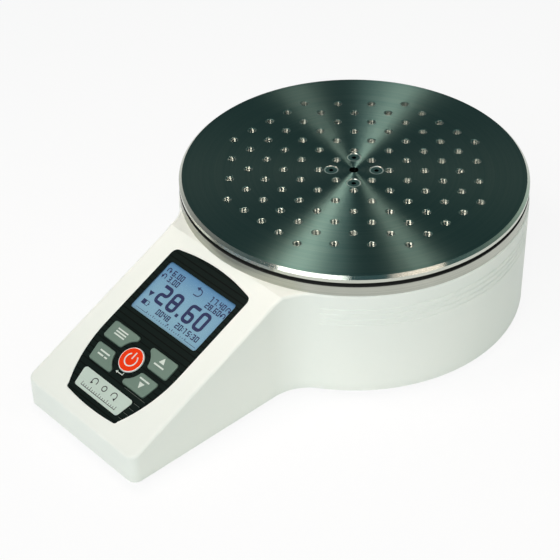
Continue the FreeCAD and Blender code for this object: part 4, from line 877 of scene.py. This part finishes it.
lower_right = [
    bar(*FALL_ENDS, FALL_LEVEL, FALL_LEVEL + KEY_LINE),
    arrowhead(sum(FALL_ENDS) / 2, FALL_LEVEL - 2.5, KEY_ARROW, turn=180),
]
signs = {
    "upper_left_key": upper_left,
    "lower_left_key": lower_left,
    "upper_right_key": upper_right,
    "lower_right_key": lower_right,
}
for key, pieces in signs.items():
    print_on(f"{key}_sign", pieces, KEY_PROUD, KEY_PRINT, pale_ink, key, "grey_key")

# Label: a silver film at the foot of the panel with a fine brushed grain across it. Its dark print is
# plain: two turning arrows, a ring between them and a scale.
silver = finish("silver_label", metallic=0.2)
spot = silver.spot()
brushed = silver.noise(silver.stretched(spot, (60.0, 3200.0, 3200.0)), 1.0, 3.0)
silver.feed(silver.shader, {
    "Base Color": silver.mix(brushed, tone(194, 212, 200), tone(214, 228, 218)),
    "Roughness": 0.36 + brushed * 0.14,
})
silver.put_on("info_label")
LABEL_TOP = 0.3
SIGN_LEVEL = 20.6
SIGN_PLACE = 8.0
SCALE_LEVEL = 14.9
SCALE_REACH = 14.3
SCALE_RULE = 0.35
SCALE_STEP = 1.75
SCALE_TICK_HALF = 0.17
SCALE_LONG_TICK = 1.9
SCALE_SHORT_TICK = 1.1
RING_RADIUS = 1.5
ARROW_RADIUS = 1.9
ARROW_STROKE = 0.55
ARROW_SWEEP = 270
dark_ink = finish("dark_ink")
spot = dark_ink.spot()
grain = dark_ink.noise(spot, 2400.0, 2.0)
dark_ink.feed(dark_ink.shader, {
    "Base Color": dark_ink.mix(grain, tone(30, 36, 34), tone(46, 52, 50)),
    "Roughness": 0.4 + grain * 0.12,
})
scale_foot = SCALE_LEVEL + SCALE_RULE
label_marks = [
    bow(0, SIGN_LEVEL, RING_RADIUS, ARROW_STROKE, 0, 360),
    bar(-SCALE_REACH, SCALE_REACH, SCALE_LEVEL, scale_foot),
]
for side, start in ((-1, -30), (1, -60)):
    label_marks.append(bow(side * SIGN_PLACE, SIGN_LEVEL, ARROW_RADIUS, ARROW_STROKE, start, ARROW_SWEEP))
    head_x = side * (SIGN_PLACE + 1.5)
    label_marks.append(arrowhead(head_x, SIGN_LEVEL - 1.4, reach=1.1, turn=180 + side * 30))
for step in range(-8, 9):
    tall = SCALE_LONG_TICK if step % 4 == 0 else SCALE_SHORT_TICK
    left = step * SCALE_STEP - SCALE_TICK_HALF
    label_marks.append(bar(left, left + SCALE_TICK_HALF * 2, scale_foot, scale_foot + tall))
print_on("label_marks", label_marks, LABEL_TOP, PRINT_THICKNESS, dark_ink, "chassis", "silver_film")

# Circuit boards: green glass fibre, screwed on standoffs under the slope and upright behind the sockets,
# with moulded switches and chips soldered on and a strip between the two. The housing hides them.
board = finish("green_board", roughness=0.4)
spot = board.spot()
cells = board.node("TexVoronoi", {"feature": "DISTANCE_TO_EDGE"}, {"Vector": spot, "Scale": 260.0})
cells = cells["Distance"]
board.feed(board.shader, {"Base Color": board.mix(cells < 0.12, tone(26, 104, 62), tone(62, 140, 88))})
board.put_on("main_board", "io_board")

black_plastic = finish("black_plastic")
spot = black_plastic.spot()
grain = black_plastic.noise(spot, 1600.0, 3.0)
black_plastic.feed(black_plastic.shader, {
    "Base Color": black_plastic.mix(grain, tone(26, 27, 28), tone(44, 45, 46)),
    "Roughness": 0.45 + grain * 0.2,
})
black_plastic.bump(grain, 0.02 * MM)
black_plastic.put_on("key_switches", "board_chips", "board_link", "charger_jack")

# Socket plate: a blackened steel plate, let into the left side and held by two screws, with a data
# socket, an output connector and a charger jack in it.
socket_plate = finish("socket_plate", metallic=0.8)
spot = socket_plate.spot()
grain = socket_plate.noise(spot, 1300.0, 3.0)
socket_plate.feed(socket_plate.shader, {
    "Base Color": socket_plate.mix(grain, tone(66, 72, 72), tone(90, 96, 95)),
    "Roughness": 0.42 + grain * 0.16,
})
socket_plate.put_on("port_plate")

# Output connector: a plated shell with sloping sides on a square base, round a black block with two rows
# of gilt pins. The shell is pressed from sheet, and the pins stand in the block.
SHELL_STEP = 0.3 * MM
SHELL_TAPER = 1.0 * MM
SHELL_CORNER = 1.0 * MM
SHELL_WALL = 0.5 * MM
SHELL_DEPTH = 2.0 * MM
PIN_RADIUS = 0.4 * MM
PIN_LENGTH = 1.5 * MM
PIN_PITCH = 2.2 * MM
PIN_ROW = 1.35 * MM
BLOCK_PROUD = 0.4 * MM
BLOCK_SUNK = 0.2 * MM
MOULD_EDGE = 0.15 * MM
port_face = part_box("port_plate")[0].x
connector_low, connector_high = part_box("data_connector")
connector_middle = (connector_low + connector_high) / 2
connector_size = connector_high - connector_low
shell_proud = port_face - connector_low.x


def block(low, high, edge):
    """A block between two corners with its edges eased."""
    bpy.ops.mesh.primitive_cube_add(size=1, location=(low + high) / 2)
    piece = bpy.context.object
    piece.scale = high - low
    settle(piece)
    if edge:
        modify(piece, "BEVEL", width=edge, segments=3)
    return piece


def on_shell(vert):
    """Whether a point belongs to the shell, inside the edge of its square base."""
    return abs(vert.co.y - connector_middle.y) < connector_size.y / 2 - SHELL_STEP / 2


shell = block(connector_low, connector_high, 0)
bpy.ops.object.mode_set(mode="EDIT")
choose("FACE", lambda face: face.normal.x < -0.9)
bpy.ops.transform.translate(value=(shell_proud, 0, 0))
bpy.ops.mesh.inset(thickness=SHELL_STEP)
bpy.ops.mesh.extrude_region_move(TRANSFORM_OT_translate={"value": (-shell_proud, 0, 0)})
for side in (-1, 1):
    choose("VERT", lambda vert: on_shell(vert) and vert.co.z < connector_middle.z
           and (vert.co.y - connector_middle.y) * side > 0)
    bpy.ops.transform.translate(value=(0, -side * SHELL_TAPER, 0))
choose("EDGE", lambda edge: all(on_shell(vert) for vert in edge.verts)
       and abs(edge.verts[0].co.x - edge.verts[1].co.x) > shell_proud / 2)
bpy.ops.mesh.bevel(offset=SHELL_CORNER, segments=4)
choose("FACE", lambda face: abs(face.calc_center_median().x - connector_low.x) < SHELL_STEP / 10)
bpy.ops.mesh.inset(thickness=SHELL_WALL)
bpy.ops.mesh.extrude_region_move(TRANSFORM_OT_translate={"value": (SHELL_DEPTH, 0, 0)})
close_up()
bpy.ops.object.shade_smooth_by_angle(angle=SMOOTH_ANGLE)
shell.name = "connector_shell"
dress(shell, tin, "chassis", "tin", "data_connector")
floor_x = connector_low.x + SHELL_DEPTH
field = Vector((0, connector_size.y / 2 - SHELL_TAPER * 2.2, connector_size.z / 2 - SHELL_WALL * 3))
pin_block = block(
    Vector((floor_x - BLOCK_PROUD, connector_middle.y - field.y, connector_middle.z - field.z)),
    Vector((floor_x + BLOCK_SUNK, connector_middle.y + field.y, connector_middle.z + field.z)), MOULD_EDGE)
pin_block.name = "connector_block"
dress(pin_block, black_plastic, "chassis", "black_plastic")
bpy.ops.mesh.primitive_cylinder_add(
    vertices=16, radius=PIN_RADIUS, depth=PIN_LENGTH, rotation=(0, math.pi / 2, 0))
pin = settle(bpy.context.object)
modify(pin, "BEVEL", width=PIN_RADIUS * 0.4, segments=2)
bpy.ops.object.shade_smooth_by_angle(angle=SMOOTH_ANGLE)
pin_spots = []
for row, count in ((PIN_ROW, 5), (-PIN_ROW, 4)):
    for number in range(count):
        along = (number - (count - 1) / 2) * PIN_PITCH
        pin_spots.append((floor_x - PIN_LENGTH / 2, connector_middle.y + along, connector_middle.z + row))
gilt = finish("gilt_pins", metallic=1.0)
spot = gilt.spot()
grain = gilt.noise(spot, 1500.0)
gilt.feed(gilt.shader, {
    "Base Color": gilt.mix(grain, tone(206, 164, 82), tone(232, 196, 118)),
    "Roughness": 0.18 + grain * 0.14,
})
dress(join("connector_pins", set_out(pin, pin_spots)), gilt, "chassis", "bright_steel")

# Data socket's tongue: a white moulded bar that carries the contacts. It stands in the tin shell from
# the back and ends a little inside the mouth.
TONGUE_START = 0.6 * MM
TONGUE_DEPTH = 6.8 * MM
TONGUE_SIDE = 1.6 * MM
TONGUE_HEIGHT = 1.1 * MM
data_low, data_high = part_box("usb_socket")
data_level = (data_low.z + data_high.z) / 2
tongue = block(
    Vector((data_low.x + TONGUE_START, data_low.y + TONGUE_SIDE, data_level)),
    Vector((data_low.x + TONGUE_DEPTH, data_high.y - TONGUE_SIDE, data_level + TONGUE_HEIGHT)), MOULD_EDGE)
tongue.name = "data_tongue"
dress(tongue, light_box, "chassis", "white_plastic")

# Socket plate screws: two small pan heads of plated steel, turned in from the left side. Each head is
# rounded over its edge, and two cuts make the cross recess.
CROSS_HALF = 1.3 * MM
CROSS_WIDTH = 0.28 * MM
CROSS_DEPTH = 0.9 * MM
head_low, head_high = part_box("port_screws")
head_radius = (head_high.z - head_low.z) / 2
head_height = port_face - head_low.x
head_z = (head_low.z + head_high.z) / 2
bpy.ops.mesh.primitive_cylinder_add(vertices=48, radius=head_radius, depth=head_height)
head = settle(bpy.context.object)
bpy.ops.object.mode_set(mode="EDIT")
choose("EDGE", lambda edge: all(vert.co.z > 0 for vert in edge.verts))
bpy.ops.mesh.bevel(offset=head_height * 0.45, segments=5)
bpy.ops.object.mode_set(mode="OBJECT")
for wide, tall in ((CROSS_HALF, CROSS_WIDTH), (CROSS_WIDTH, CROSS_HALF)):
    cutter = block(
        Vector((-wide, -tall, head_height / 2 - CROSS_DEPTH)), Vector((wide, tall, head_height)), 0)
    modify(head, "BOOLEAN", object=cutter, operation="DIFFERENCE", solver="EXACT")
    bpy.data.objects.remove(cutter)
settle(head)
bpy.ops.object.shade_smooth_by_angle(angle=math.radians(30))
head.rotation_euler = (0, -math.pi / 2, 0)
settle(head)
head_x = head_low.x + head_height / 2
head_spots = [(head_x, y, head_z) for y in (head_low.y + head_radius, head_high.y - head_radius)]
heads = join("port_screw_heads", set_out(head, head_spots))
dress(heads, screw_steel, "chassis", "bright_steel", "port_screws")

# Battery, its bracket and the leads: a pack of cells in blue shrink wrap under an aluminium strap, and
# two leads in black sheath along the bottom plate. The housing hides them.
wrap = finish("battery_wrap", roughness=0.3)
spot = wrap.spot()
creases = wrap.noise(spot, 120.0, 3.0)
wrap.feed(wrap.shader, {"Base Color": wrap.mix(creases, tone(40, 76, 140), tone(58, 98, 168))})
wrap.put_on("battery_pack")
milled.put_on("battery_bracket")
sheath = finish("lead_sheath", roughness=0.6)
spot = sheath.spot()
grain = sheath.noise(spot, 700.0)
sheath.feed(sheath.shader, {"Base Color": sheath.mix(grain, tone(36, 36, 37), tone(54, 54, 55))})
sheath.put_on("sensor_lead", "battery_lead")

# Stage: a plain pale floor under soft studio light. Two small lamps above, left and right of the view,
# draw the rays on the turned plate, and two large ones light the housing from the front and the right.
FLOOR_SIZE = 14.0
FLOOR_GLOW = 0.88
WHITE = (1.0, 1.0, 1.0, 1.0)
PALE = (0.96, 0.96, 0.96, 1.0)
bpy.ops.mesh.primitive_plane_add(size=FLOOR_SIZE, location=(0, 0, 0))
floor = bpy.context.object
floor.name = "floor"
floor_look = finish("pale_floor", roughness=0.9, specular_ior_level=0.0)
floor_look.feed(floor_look.shader, {"Base Color": PALE, "Emission Color": WHITE})
rays = floor_look.node("LightPath")
seen = floor_look.math("MAXIMUM", rays["Is Camera Ray"], rays["Is Glossy Ray"])
seen = floor_look.math("MAXIMUM", seen, rays["Is Transmission Ray"])
glow = floor_look.node("Emission", values={"Color": WHITE, "Strength": 1.0})["Emission"]
matt = Shade(floor_look, floor_look.shader.outputs[0])
lit_floor = floor_look.node("MixShader", values={0: seen * FLOOR_GLOW, 1: matt, 2: glow})["Shader"]
output = [node for node in floor_look.tree.nodes if node.type == "OUTPUT_MATERIAL"][0]
floor_look.tree.links.new(lit_floor.socket, output.inputs["Surface"])
floor.data.materials.append(floor_look.owner)

VIEW_TURN = math.radians(48.022)
VIEW_RISE = math.radians(38.117)
VIEW_ROLL = math.radians(1.133)
VIEW_DISTANCE = 0.965054
VIEW_AIM = Vector((-10.48, 3.11, 22.95)) * MM
VIEW_LENS = 108.394
VIEW_SENSOR = 36.0
turn = Matrix.Rotation(VIEW_TURN, 4, "Z")
tilt = Matrix.Rotation(math.pi / 2 - VIEW_RISE, 4, "X") @ Matrix.Rotation(-VIEW_ROLL, 4, "Z")
facing = turn @ tilt
bpy.ops.object.camera_add()
camera = bpy.context.object
camera.matrix_world = Matrix.Translation(VIEW_AIM) @ facing @ Matrix.Translation((0, 0, VIEW_DISTANCE))
camera.data.lens = VIEW_LENS
camera.data.sensor_width = VIEW_SENSOR
bpy.context.scene.camera = camera

OVERHEAD = (0.1, 0.95, 1.15, 1.0)
RIGHT_WALL = (0.7, 1.0, 0.88, 1.0)
world = bpy.data.worlds.new("studio")
bpy.context.scene.world = world
sky = Finish(world)
direction = sky.node("SeparateXYZ", values={"Vector": sky.node("TexCoord")["Generated"]})
low_sky = sky.math("POWER", 1.0 - sky.math("MAXIMUM", direction["Z"], 0.0), 3.0)
rightward = direction["X"] * math.cos(VIEW_TURN) + direction["Y"] * math.sin(VIEW_TURN)
low_colour = sky.mix(sky.math("MAXIMUM", rightward, 0.0), WHITE, RIGHT_WALL)
sky.feed(sky.shader, {
    "Color": sky.mix(sky.math("MINIMUM", low_sky * 8.0, 1.0), OVERHEAD, low_colour),
    "Strength": 0.08 + low_sky * 0.8,
})

drum_middle = Vector((0, axis_y, plate_high.z))


def soft_box(name, across, towards, height, width, length, power, colour):
    """A soft lamp above the plate: across and towards are seen from the camera, and it faces the plate."""
    place = drum_middle + turn @ Vector((across, -towards, height))
    bpy.ops.object.light_add(type="AREA", location=place)
    lamp = bpy.context.object
    lamp.name = name
    lamp.data.shape = "RECTANGLE"
    lamp.data.size = width
    lamp.data.size_y = length
    lamp.data.energy = power
    lamp.data.color = colour
    lamp.rotation_euler = (drum_middle - place).to_track_quat("-Z", "Y").to_euler()


LAMP = (1.0, 0.82, 0.74)
COOL = (0.95, 1.0, 1.0)
WARM = (1.0, 0.84, 0.76)
soft_box(
    "left_box", across=-0.16, towards=0.07, height=0.42, width=0.14, length=0.125, power=0.94, colour=LAMP)
soft_box(
    "right_box", across=0.18, towards=0.07, height=0.42, width=0.112, length=0.08, power=0.38, colour=LAMP)
soft_box(
    "front_box", across=-0.75, towards=1.3, height=1.2, width=1.2, length=0.8, power=16.2, colour=COOL)
soft_box(
    "side_box", across=0.85, towards=1.0, height=1.0, width=0.8, length=0.6, power=3.0, colour=WARM)

bpy.context.scene.view_settings.view_transform = "Standard"
